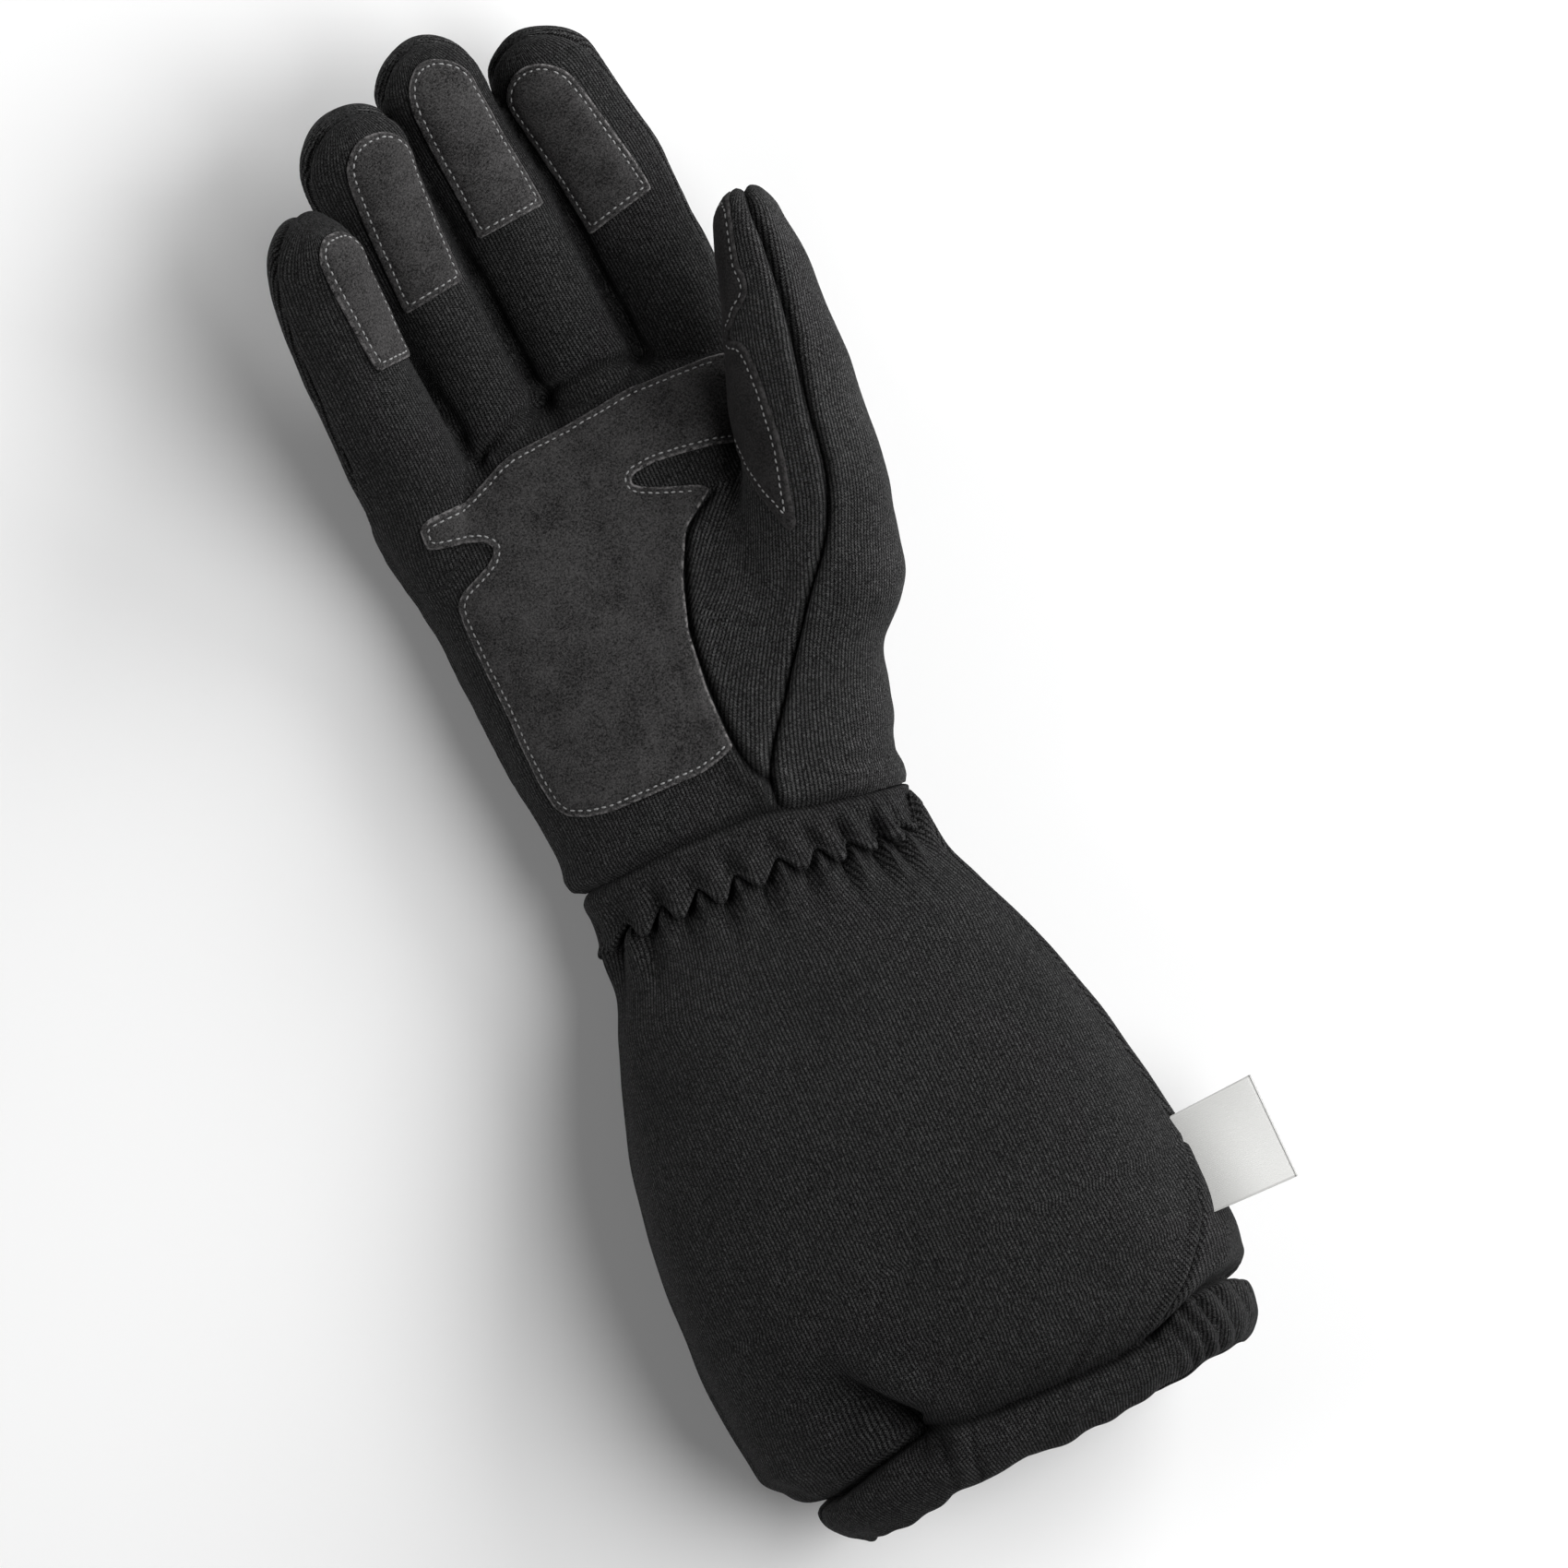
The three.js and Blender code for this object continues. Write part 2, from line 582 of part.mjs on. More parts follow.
function fingerPatch(name) {
  const { left, right, base, tip, lean, slope, corner } = FINGER_PATCHES[name];
  const width = right - left;
  const outline = new THREE.Shape();
  outline.moveTo(left, base);
  outline.lineTo(right, base + slope * width);
  outline.lineTo(right + lean, tip - corner);
  outline.quadraticCurveTo(right + lean, tip, right + lean - corner, tip);
  outline.lineTo(left + lean + corner, tip);
  outline.quadraticCurveTo(left + lean, tip, left + lean, tip - corner);
  const points = outline.getPoints(PATCH_CORNER_FACETS).map(({ x, y }) => [x, y]);
  const digit = DIGITS[name];
  const others = FINGERS.filter((other) => other !== name);
  const neighbours = others.map((other) => digitBody(DIGITS[other], SEAM_GAP));
  const region = prism(points).intersect(digitPalmSide(digit, -1));
  return piece(layer((grow) => digitBody(digit, grow)), region, ...neighbours);
}

const thumbPatchOutline = [
  [THUMB_PATCH_LEFT, THUMB_PATCH_EDGE[0][1]], ...THUMB_PATCH_EDGE,
  [THUMB_PATCH_LEFT, THUMB_PATCH_EDGE.at(-1)[1]],
];
const thumbPatch = piece(layer((grow) => digitBody(DIGITS.thumb, grow)),
  prism(thumbPatchOutline).intersect(digitPalmSide(DIGITS.thumb, -1)), handBody(PATCH_CLEARANCE));

// Folded label, bent down a little towards its free end
function labelSolid() {
  const { near, far, top, bottom, z, droop, slide, upper, rows: count } = LABEL;
  return loft(steps(near, far, count).map((x) => {
    const t = (x - near) / (far - near);
    const height = z - droop * t * t;
    const upperY = top + slide * upper * t;
    const lowerY = bottom + slide * t;
    return [
      new THREE.Vector3(x, upperY, height),
      new THREE.Vector3(x, lowerY, height),
      new THREE.Vector3(x, lowerY, height + LABEL_THICKNESS),
      new THREE.Vector3(x, upperY, height + LABEL_THICKNESS),
    ];
  }));
}
const label = piece(labelSolid(), null, gauntletBody(SEAM_GAP));

// Colours of the materials
const KNIT = { color: 0x26262a, roughness: 0.92 };
const SUEDE = { color: 0x3a3739, roughness: 0.96 };
const SATIN = { color: 0xe9e9e6, roughness: 0.55 };

const group = new THREE.Group();

function add(name, manifold, { color, roughness }) {
  const mesh = manifold.getMesh();
  const geometry = new THREE.BufferGeometry();
  geometry.setAttribute('position', new THREE.BufferAttribute(new Float32Array(mesh.vertProperties), 3));
  geometry.setIndex(new THREE.BufferAttribute(new Uint32Array(mesh.triVerts), 1));
  geometry.computeVertexNormals();
  const material = new THREE.MeshStandardMaterial({ color, roughness, metalness: 0 });
  const node = new THREE.Mesh(geometry, material);
  node.name = name;
  group.add(node);
}

add('palm_panel', palmPanel, KNIT);
add('back_panel', backPanel, KNIT);
add('thumb_panel', thumbPanel, KNIT);
add('wrist_band', wristBand, KNIT);
add('gauntlet_front', gauntletFront, KNIT);
add('gauntlet_back', gauntletBack, KNIT);
add('hem', hem, KNIT);
add('palm_patch', palmPatch, SUEDE);
for (const name of FINGERS) add(`${name}_patch`, fingerPatch(name), SUEDE);
add('thumb_patch', thumbPatch, SUEDE);
add('label', label, SATIN);

// The origin is the middle of the underside
const bounds = new THREE.Box3().setFromObject(group);
const middle = bounds.getCenter(new THREE.Vector3());
for (const node of group.children) node.geometry.translate(-middle.x, -middle.y, -bounds.min.z);

export default group;
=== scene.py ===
import math
from functools import partial
from types import SimpleNamespace
import numpy as np
import bpy
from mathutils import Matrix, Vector
from mathutils.geometry import delaunay_2d_cdt


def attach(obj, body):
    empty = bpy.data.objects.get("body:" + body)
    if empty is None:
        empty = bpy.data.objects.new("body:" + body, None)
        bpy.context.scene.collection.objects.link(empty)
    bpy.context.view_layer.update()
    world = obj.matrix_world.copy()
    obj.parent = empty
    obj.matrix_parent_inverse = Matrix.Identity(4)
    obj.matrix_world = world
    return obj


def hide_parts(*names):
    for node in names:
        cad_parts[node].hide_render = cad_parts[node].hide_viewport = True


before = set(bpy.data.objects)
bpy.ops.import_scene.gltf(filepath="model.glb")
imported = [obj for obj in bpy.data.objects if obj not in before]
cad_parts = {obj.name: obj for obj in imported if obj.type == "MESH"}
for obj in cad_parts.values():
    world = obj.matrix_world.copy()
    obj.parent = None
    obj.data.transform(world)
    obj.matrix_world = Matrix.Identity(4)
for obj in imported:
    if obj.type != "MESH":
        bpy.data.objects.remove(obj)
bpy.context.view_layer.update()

# Long-gauntlet racing glove for the right hand, lying on its back with the palm up.
# Shapes are worked out in millimetres from the middle of the wrist seam: x towards the thumb,
# y towards the fingertips, z up. They are moved to the part's origin when a mesh is made.
MM = 0.001
ORIGIN = np.array([14.186, 27.176, 0.0])
RANDOM_SEED = 11
TURN = 2 * math.pi
FAR = 99.0

GRID_STEP, CLOTH_STEP, PATCH_STEP = ((1.0, 0.8, 0.8))
CREASE_ROWS, VALLEY_ROUNDS = ((18, 14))
CREASE_FROM = 0.955
BAND_FINER = 0.8
INNER_STRIDE = 3
ARC_STEPS, GIRTH_STEPS = 500, 2001
HAND_BOX = (-58.0, -8.0, -3.0), (86.0, 232.0, 88.0)
ROW_SHARE, GRID_CLEAR = 0.87, 0.55
NEAR_STEPS, WAVE_COUNT, QUARTER_STEPS, FLOOR_HALF = 3.2, 7, 400, 4

# Cloth
WALL = 2.8
INNER_FLOOR = 0.6
FLOOR_ROUND = 3.0

# Roundness of the cross-sections: 2 is an ellipse, more is squarer
GAUNTLET_SQUARENESS, HAND_SQUARENESS, DIGIT_SQUARENESS = 2.25, 2.7, 2.05
HAND_FLATNESS = 0.43

# Body of the glove, its silhouette from the palm side and its height. Columns: y, left, right, bottom, top
BODY_ROWS = [
    (-171, -46, 62, 9, 60),
    (-164, -52.5, 68, 6, 63),
    (-154, -57.5, 72, 3.5, 66),
    (-146, -61.5, 74, 1, 71),
    (-126, -64.8, 75, -2.5, 77),
    (-106, -65, 72, -3, 78),
    (-88, -63.5, 69.3, -3, 76),
    (-66, -60, 65, -2, 71),
    (-48, -55.5, 60, 0, 64),
    (-30, -49, 53, 3, 55),
    (-18, -43.6, 48.2, 6, 48),
    (-6, -41, 47.4, 8, 44.5),
    (8, -42.2, 47.6, 8, 44.5),
    (22, -42.8, 49, 6, 45),
    (50, -45, 50, 1, 44),
    (80, -46.6, 53, -1.5, 42),
    (98, -48.6, 55.3, 0, 40.5),
    (109, -50, 57, 3.5, 39),
    (118, -49.5, 56.5, 7, 36),
    (126, -43, 49, 13, 28),
]
KNUCKLES_Y, KNUCKLE_ROUND = 126.0, 6.0

# Fingers and thumb. Columns: y, x and z of the centre line, half width, half depth.
# roll turns the palm side of a digit towards the thumb, split is the height of its side seams
DIGITS = {
    "little": dict(roll=45, split=-5.2, dome=13, rows=[
        (100, -36, 24.5, 11.5, 12),
        (120, -35.7, 30.5, 14.8, 13.2),
        (145, -36, 42.5, 14, 12.8),
        (165, -36, 54, 13.4, 12.4),
        (180, -34.8, 63, 12.4, 11.8),
        (192.5, -31.5, 72, 11.5, 11),
    ]),
    "ring": dict(roll=15, split=1.2, dome=14, rows=[
        (100, -10.5, 19.5, 12, 12),
        (122, -10.6, 21, 13.4, 12.8),
        (150, -12, 26.5, 12.8, 12.6),
        (175, -13.7, 36.5, 13.2, 12.6),
        (197, -14.8, 50, 14, 12.8),
        (214, -13, 62, 13.5, 12.5),
    ]),
    "middle": dict(roll=10, split=1.2, dome=14, rows=[
        (100, 17, 19, 12, 12),
        (126, 16.6, 19.5, 13.9, 13.1),
        (150, 14.4, 22.5, 14.5, 13),
        (175, 13.2, 29, 14.4, 12.8),
        (200, 10.8, 39, 14.1, 12.6),
        (223, 9.5, 51, 13.1, 12.2),
    ]),
    "index": dict(roll=-10, split=1.2, dome=14, rows=[
        (100, 43.4, 18.5, 11.5, 12),
        (126, 44, 17.5, 14, 13.1),
        (150, 43.1, 18.5, 15.1, 13),
        (175, 41.5, 22.5, 15.3, 12.8),
        (195, 39.1, 29.5, 14.7, 12.6),
        (214, 35.8, 39.5, 13.3, 12),
    ]),
    "thumb": dict(roll=-35, split=0, dome=8, start=-12, rows=[
        (10, 27, 26, 17, 17),
        (33, 35, 28.5, 19, 17.5),
        (45, 40.8, 31.2, 19.4, 17.5),
        (57, 48.8, 34, 22.3, 17.5),
        (68, 53.5, 37.4, 20.7, 17.1),
        (80, 58, 41, 18.6, 16.5),
        (100, 61.9, 47, 16.7, 15.2),
        (120, 66, 52, 13, 13.6),
        (133, 68.6, 55, 11, 11.7),
        (144, 69.9, 57.2, 8.7, 9.6),
        (154.4, 71.9, 59.7, 6.2, 7.8),
    ]),
}
FINGERS = ["little", "ring", "middle", "index"]
FINGER_START = 98
SPINE_STEP, SPINE_MORE = 0.5, 24.0
NEAR_BEFORE, NEAR_BEYOND = 10, 16

# How softly the digits grow out of the palm
FINGER_BLEND = 1.4
THUMB_BLEND, THUMB_BLEND_LEAST = 8.0, 0.6

# Seams, seen from the palm side. Columns: x, y
WRIST_SEAM = [
    (-70, 8.4), (-35, 8.4), (-15, 9.4), (5, 8.6), (14, 7.2), (22, 4.4), (34, 1.8), (46, 0), (80, 0),
]
GUSSET_SEAM = [
    (15, 14.5), (12, 19), (10.3, 27), (10.6, 42), (12.5, 58), (17, 71), (23, 82), (33, 88),
]
THUMB_SEAM = [
    (15, -5), (15, 15), (27, 33), (43, 53), (54, 66), (60.5, 80), (63.5, 97), (68.5, 120), (71, 138),
    (73, 166),
]
BALL_FROM_Y, BALL_TOP_Y = 13.0, 89.0
TUBE_FROM_Y = 62.0
WRAPPED_TO_Y, WRAPPED_SEAM, WRAPPED_OVER = 100.0, -2, -6
APART_FROM_Y, SIDE_SEAM_TO = 112, 2
HAND_SPLIT, SPLIT_MERGE = 0.51, 2.5
FINGER_BASES = [
    (-26, 116.5), (-18.5, 121.3), (-9, 125), (-0.4, 126.6), (3.2, 129), (15, 129.6), (30.5, 128),
    (40, 126.5),
]

# Relief of the cloth beside a line: height, distance from the line and reach of each rise or dip
RELIEF = {
    "seam": [(-2.6, 0, 0.85), (0.8, 2.9, 2.0)],
    "side seam": [(-1.7, 0, 0.85), (0.8, 2.9, 2.0)],
    "between fingers": [(-2.8, 0, 2.4)],
    "finger bases": [(-3.0, 0, 1.1), (0.7, -3.4, 2.2)],
    "wrist": [(-2.8, 0, 1.1), (0.9, 4.6, 2.6)],
    "wrist by thumb": [(-1.0, 0, 1.1), (0.36, 4.6, 2.6)],
    "creases, x": [(0.5, 40, 8)],
    "creases, y": [(1, 10, 6)],
    "under band": [(-2.4, 0, 1.5)],
    "below band": [(0.7, 7, 5)],
    "crease": [(-4.4, 0, 0.9)],
    "over crease": [(1.0, 3.2, 2.2), (0.7, 10, 5)],
    "puckers": [(0.3, 2.5, 6.5)],
    "front seam": [(-1.7, 0, 0.8), (0.6, 2.6, 2.2)],
    "front seam, low": [(-1.7, 0, 0.8), (1.1, 2.6, 2.2)],
    "back seam": [(-1.7, 0, 0.8), (0.6, 3.2, 2.4)],
    "back seam, low": [(-0.9, 0, 0.8)],
    "fold": [(-14.5, 0, 3.12), (2.2, -7.5, 5)],
    "fold, right": [(-14.5, 0, 8.06), (2.2, -7.5, 5)],
    "fold, mouth": [(-14.5, -13, 13)],
    "fold, crease": [(-0.2, 0, 5)],
    "hem ridges": [(1.0, -17, 7), (1.2, 58, 10)],
    "band folds": [(0.6, 40, 8)],
    "stitch channel": [(-0.4, 1.6, 0.6), (0.12, 4.2, 1.8)],
}

# Where things fade: 0 at the first number and 1 at the second; with four numbers, then back from 1 to 0
RAMPS = {
    "squarer": (8, 40),
    "thumb root": (2, 20),
    "thumb free": (72, 96),
    "split merge": (-SPLIT_MERGE, SPLIT_MERGE),
    "split": (92, 134),
    "palm side": (-2, 4),
    "gusset": (11, 15, 86, 94),
    "thumb tip": (146, 160),
    "between fingers": (106, 122, 160, 176),
    "fingers apart": (1.5, 5),
    "finger bases": (-24, -18, 28, 36),
    "ball edge": (0, 11),
    "ball": (4, 26, 78, 96),
    "wrist by thumb": (30, 46),
    "steady skin": (0.3, 0.85),
    "valley": (100, 112, 176, 186),
    "gathers": (-0.5, 2, 1, 20),
    "gathers by thumb": (38, 47),
    "fine gathers": (0, 2, 2, 13),
    "gathered cloth": (-34, -8),
    "low seam": (-105, -125),
    "waves": (-8, -40),
    "fold": (-120, -147),
    "band shown": (-1.2, 0.6),
    "band palm side": (20, 34),
    "band by thumb": (36, 44),
    "thin band": (38, 46),
    "tongues": (0.1, 0.95),
    "crumpled": (12, 26),
    "crumpled rows": (0, 0.3),
    "hem shown": (-2.6, -0.6),
    "hem inside": (12, 13.5),
    "hem edge": (0.6, 1),
    "patch edge": (0, 0.7),
    "raw edge": (0.25, 0.8),
}

# Uneven waves in the cloth: height, length and random seed
WAVES = {
    "hand": (0.45, 34, 1),
    "hand, fine": (0.2, 13, 2),
    "gauntlet": (0.9, 70, 3),
    "gauntlet, fine": (0.22, 17, 4),
    "gathers": (0.45, 24, 5),
    "band": (1, 8, 6),
    "hem": (0.35, 15, 8),
    "band tongues": (0.5, 21, 9),
    "hem edge": (0.7, 13, 10),
    "suede": (0.07, 9, 12),
}

# Ripples with a sway: radians per millimetre, size of the sway and its radians per millimetre
RIPPLES = {
    "fine gathers": (TURN / 2.6, 2, 0.21),
    "puckers": (0.62, 1.3, 0.17),
    "hem": (0.56, 0.9, 0.16),
}

# Hand
THUMB_TIP_FADE = 0.7
BALL_BULGE = 2.0
VALLEY_REACH, VALLEY_SHARE = 3.5, 0.7
SMOOTHING = 0.6
SNAP_REACH = 1.3 * GRID_STEP
CREASE_PITCH, CREASE_SLANT, CREASE_SWAY, CREASE_SWAY_RATE = 6.4, 0.35, 0.8, 0.2

# Gauntlet, band and hem. Angles turn from the thumb side over the palm side to the other side
RIGHT_SHARE = 0.62
RIGHT_ANGLE = math.asin((2 * RIGHT_SHARE - 1) ** (GAUNTLET_SQUARENESS / 2))
LEFT_ANGLE = math.pi
WRAP_Y = np.arange(-180.0, 14.0, 1.0)
WIDEST_Y, GATHER_Y, HEM_Y, BAND_TOP_Y = -106, -7.0, -154.0, 4.0
# Below the label the thumb side's seam leaves the outline and runs down to the crease on the palm side
RIGHT_SEAM = [
    (-156, 40), (-153.8, 43), (-147.5, 53), (-143.8, 58), (-137, 64.6), (-131, 68.3), (-124, 69.5),
    (-112, 71.5),
]

# Lower edge of the band. Measured tips on the palm side in x and y, then even teeth round the back
ZIGZAG = [
    (-39, -8), (-34, -3), (-30, -8), (-24.5, -2), (-20, -8), (-14, -2), (-9, -9), (-4, -3), (1.5, -9),
    (8, -3.5), (13, -10), (18, -5.5), (22.5, -12), (26, -7.5), (31, -13), (34, -9), (37, -14), (40, -9.5),
    (43, -13),
]
BACK_TOOTH, BACK_LOW, BACK_HIGH = 9.8, -9.0, -3.5
TIP_ROUND = 0.45

# Crease over the hem and the hem's lower edge: on the palm side by x, on the back by share of its width
CREASE = [
    (-54, -158), (-45, -156.2), (-35, -154), (-27, -152), (-21, -151), (-14, -152.4), (-8, -153.8),
    (15, -154.8), (33, -155), (43, -153.8), (49, -150.3), (54, -148), (65, -147.9), (73, -149.3),
]
BACK_CREASE = [(0, -158), (0.25, -154.5), (0.75, -154), (1, -149.3)]
HEM_EDGE = [
    (-47, -172), (-35, -171), (-27, -169.7), (-10, -168.7), (0, -168.2), (10, -169.3), (20, -169.4),
    (33, -168.3), (48, -167), (64, -165),
]
BACK_HEM_EDGE = [(0, -172), (0.3, -169.5), (0.7, -169), (1, -165)]

# Gauntlet: gathers, a long fold of the front that is deepest in the hem, and the roll into the crease
GATHERS, GATHERS_LESS_BY_THUMB, FINE_GATHERS, GATHERED_DENSER = 1.6, 0.6, 0.2, 0.25
SMALL_PUCKERS, SMALL_PUCKER_RATE, SMALL_PUCKER_PHASE = 0.6, 1.13, 2
UNDER_BAND, UNDER_CREASE = 2.5, 0.6
FOLD = [(-37, -124), (-31, -136), (-25, -145), (-20, -151.5), (-13, -162)]
FOLD_IN_CREASE = 0.8
ROLL_X, ROLL_SPAN = -38.0, 22.0
ROLL_DEPTH, ROLL_DEPTH_MORE = 2.4, 4.0
ROLL_REACH, ROLL_REACH_MORE = 4.6, 7.0
MIDDLE_WITHIN = 0.8

# Band. Its teeth lie over the gauntlet. Columns: share of the way down, mm past it, height over the body
BAND_ROWS = [
    (0.0, 1.8, -3.8), (0.0, 0.2, -2.7), (0.0, -0.5, -1.6), (0.0, -1.6, -0.4), (0.0, -3.2, 0.35),
    (0.5, -0.6, 0.5), (0.8, 0.0, 0.9), (1.0, 1.6, 1.9), (1.0, 0.6, 1.8), (1.0, 0.12, 1.3), (1.0, 0.0, 0.5),
    (1.0, 0.2, -0.8), (1.0, 2.0, -2.6),
]
BAND_RUN = 26
TONGUE_SUNK, TONGUE_PUFF = 0.35, 1.9
CRUMPLED, CRUMPLED_MORE, CRUMPLED_LONGER = 0.3, 0.6, 0.6
BAND_FOLD_PITCH = 4.6
BAND_THINNER, BAND_CALM = 1.8, 0.85
BAND_STRETCH = 1.04

# Hem, a casing that is rounded at its lower edge and turned in.
# Columns: share of the way from crease to edge, mm up from it, height over the body, part of the roll's depth
HEM_ROWS = [
    (0.0, 2.2, -7.5, 1.0), (0.0, 0.2, -5.0, 1.0), (0.0, -0.7, -2.6, 0.9), (0.0, -1.6, -0.6, 0.7),
    (0.0, -3.0, 0.2, 0.5), (0.4, 0.0, 0.6, 0.2), (0.7, 0.0, 0.5, 0.0), (1.0, 2.4, -0.3, 0.0),
    (1.0, 0.9, -1.1, 0.0), (1.0, 0.1, -2.1, 0.0), (1.0, 0.0, -3.2, 0.0), (1.0, 1.0, -4.2, 0.0),
    (1.0, 4.0, -4.4, 0.0), (1.0, 9.0, -4.2, 0.0), (0.0, 2.0, -8.0, 1.0), (0.0, 6.0, -8.0, 1.0),
]
HEM_RUN = 44
HEM_SLANT, HEM_SLANT_TURNS_X = 0.45, 20
RIDGE_HEIGHT, RIDGE_LEVEL, RIDGE_SHARPNESS, RIDGE_LEAST = 2.2, 0.6, 0.7, 0.08

# Suede patches. The palm's outline is drawn in x and y; the thumb's in y and degrees from straight up, turned
# towards the thumb side; those of the fingers by y and degrees of their left and right side at base and tip
PATCH_THICKNESS, PATCH_EDGE = 1.2, 0.55
PATCH_SINK = 0.35
EDGE_STEP, EDGE_ROUNDS, INSET_KEPT, CORNER_POINTS = 0.8, 2, 0.96, 6
INSET_RINGS = [0.3, 0.8, 1.2, 1.6, 2.1, 2.7]
PALM_PATCH = [
    (-36, 28.5), (-38, 32), (-38.7, 40), (-38.8, 55), (-38.9, 70), (-39.3, 84), (-38.5, 89), (-36, 91.5),
    (-32, 93), (-27, 95), (-24.2, 97.5), (-24, 99), (-26, 101), (-30, 102.6), (-37, 104.5), (-39.6, 105.4),
    (-39.2, 111), (-36, 112), (-25, 112.2), (-20, 114.5), (-15, 116.5), (-10, 117.8), (0, 118.5),
    (15, 119.5), (25, 120.5), (35, 120.3), (45, 119.6), (50.5, 118.6), (50.5, 110), (50, 97), (44, 96.6),
    (38, 98.5), (30, 100), (22, 101), (16, 100.5), (14.5, 98.6), (16, 97), (20, 95), (25, 93), (30, 91),
    (32.4, 88.9), (22.4, 82.2), (16.4, 71.2), (11.9, 58), (10, 42), (9.7, 30), (9.9, 26.6), (5, 24.9),
    (0, 23.9), (-15, 24.3), (-25, 24.7), (-31, 26),
]
DIGIT_PATCHES = {
    "little": dict(base=(151, 17, 86), tip=(187, 6, 84), corner=6, slope=0.6),
    "ring": dict(base=(162, -27, 50), tip=(206, -12, 73), corner=8, slope=2),
    "middle": dict(base=(171.5, -32, 52), tip=(217.5, -24, 57), corner=8, slope=1.2),
    "index": dict(base=(160.8, -47, 38), tip=(206, -54, 27), corner=8, slope=4),
}
THUMB_PATCH = [
    (70, -24), (71, -19), (72.5, -21), (78, -23), (87, -23), (92.5, -25), (99, -29), (104.5, -31),
    (110.5, -35), (115, -40), (118, -46), (119.6, -56), (120.4, -76), (122.8, -76), (123.6, -59),
    (126, -52), (127.5, -38), (129.5, -30), (132.5, -29), (136.5, -35), (142, -34), (147, -31), (151, -37),
    (153.4, -56), (154.2, -78), (152, -98), (146, -110), (135, -116), (118, -119), (106, -117), (99, -108),
    (94, -94), (90, -80), (86.5, -69), (82.5, -58), (78.5, -47), (74.5, -37), (71.5, -30),
]
DEGREE_MM = math.radians(1) * 13.0
PALM_UNSEWN = dict(gusset_gap=3.2, from_y=27.5, from_x=48)
RAY_REACH, RAY_STEPS, RAY_ROUNDS = 34.0, 32, 10
DEEPEST_UNDER_PATCH, HIGHEST_UNDER_PATCH = -0.3, 3.0
THUMB_FREE_RISE = 8.0

# Stitches: bows of thread with their ends sunk in the leather. Columns: share of the length, width, rise
STITCH_INSET, STITCH_PITCH, STITCH_LENGTH, LONGEST_STITCH = 1.6, 2.0, 1.4, 2.52
STITCH_ASIDE, STITCH_ALONG = 0.07, 0.06
STITCH_HEIGHT = 0.82
THREAD, THREAD_FLATNESS, THREAD_SIDES = 0.46, 0.8, 6
THREAD_ROWS = [
    (0.0, 0.25, -0.5), (0.1, 0.75, -0.12), (0.28, 1.0, 0.12), (0.5, 1.05, 0.2), (0.72, 1.0, 0.12),
    (0.9, 0.75, -0.12), (1.0, 0.25, -0.5),
]

# Folded satin label in the side seam: two layers with a rounded fold at their far end
LABEL_NEAR, LABEL_FAR = 62.0, 93.5
LABEL_TOP, LABEL_BOTTOM = -106.0, -132.0
LABEL_Z, LABEL_RISE, LABEL_DROOP = 46.0, 7.0, 7.0
LABEL_LEAN, LABEL_LEAN_AT_TOP, LABEL_TAPER = 1.2, 0.4, 1.6
# Waves of the label: height, radians along and across, power of the place along it
LABEL_WAVES = [(0.7, 2.2, 2.6, 1), (0.35, 6.5, -2, 0)]
SATIN_THICKNESS, SATIN_FOLD = 0.32, 0.42
LABEL_STEPS, LABEL_FOLD_STEPS, LABEL_STEPS_ACROSS = 50, 8, 40

# Camera over the palm side, turned as in the photo, and soft lamps: place, size and power
CAMERA_PLACE, CAMERA_TURN = (0.00336, -0.0146, 4.04), -25
CAMERA_HEIGHT, FRAME_WIDTH, SENSOR = 4.0, 0.4, 36
LAMPS = {
    "key": ((1.93, 0.70, 0.79), 1.7, 56),
    "top": ((1.22, -0.57, 1.74), 1.7, 42),
    "rim": ((-1.90, 0.88, 0.68), 1.9, 27),
}
ROOM_LIGHT = 0.05


# Columns of a table, smoothed at places along its first column
def smooth_rows(rows, places):
    keys, *values = np.array(rows, float).T
    values = np.array(values)
    last = len(keys) - 1
    i = np.clip(np.searchsorted(keys, places) - 1, 0, last - 1)
    before, after = np.maximum(i - 1, 0), np.minimum(i + 2, last)
    span = keys[i + 1] - keys[i]
    t = np.clip((places - keys[i]) / span, 0, 1)
    slope_a = (values[:, i + 1] - values[:, before]) / (keys[i + 1] - keys[before]) * span
    slope_b = (values[:, after] - values[:, i]) / (keys[after] - keys[i]) * span
    fall = 1 - t
    ends = fall * fall * (1 + 2 * t) * values[:, i] + t * t * (3 - 2 * t) * values[:, i + 1]
    return ends + t * fall * (fall * slope_a - t * slope_b)


# Second column of a short table at places along its first
def read_line(table, places):
    return np.interp(places, *np.transpose(table))


# Points at places along a line of points with known keys
def interpolate(places, keys, points):
    return np.stack([np.interp(places, keys, column) for column in points.T], -1)


def run_length(points):
    return np.append(0, np.cumsum(np.linalg.norm(np.diff(points, axis=0), axis=1)))


def mix(one, two, share):
    return one * (1 - share) + two * share


def smoothstep(low, high, value):
    t = np.clip((value - low) / (high - low), 0, 1)
    return t * t * (3 - 2 * t)


def ramp(name, value):
    low, high, *fall = RAMPS[name]
    rise = smoothstep(low, high, value)
    return rise * smoothstep(*fall[::-1], value) if fall else rise


def bell(distance, reach):
    return np.exp(-(distance / reach) ** 2)


def relief(name, distance):
    return sum(height * bell(distance - at, reach) for height, at, reach in RELIEF[name])


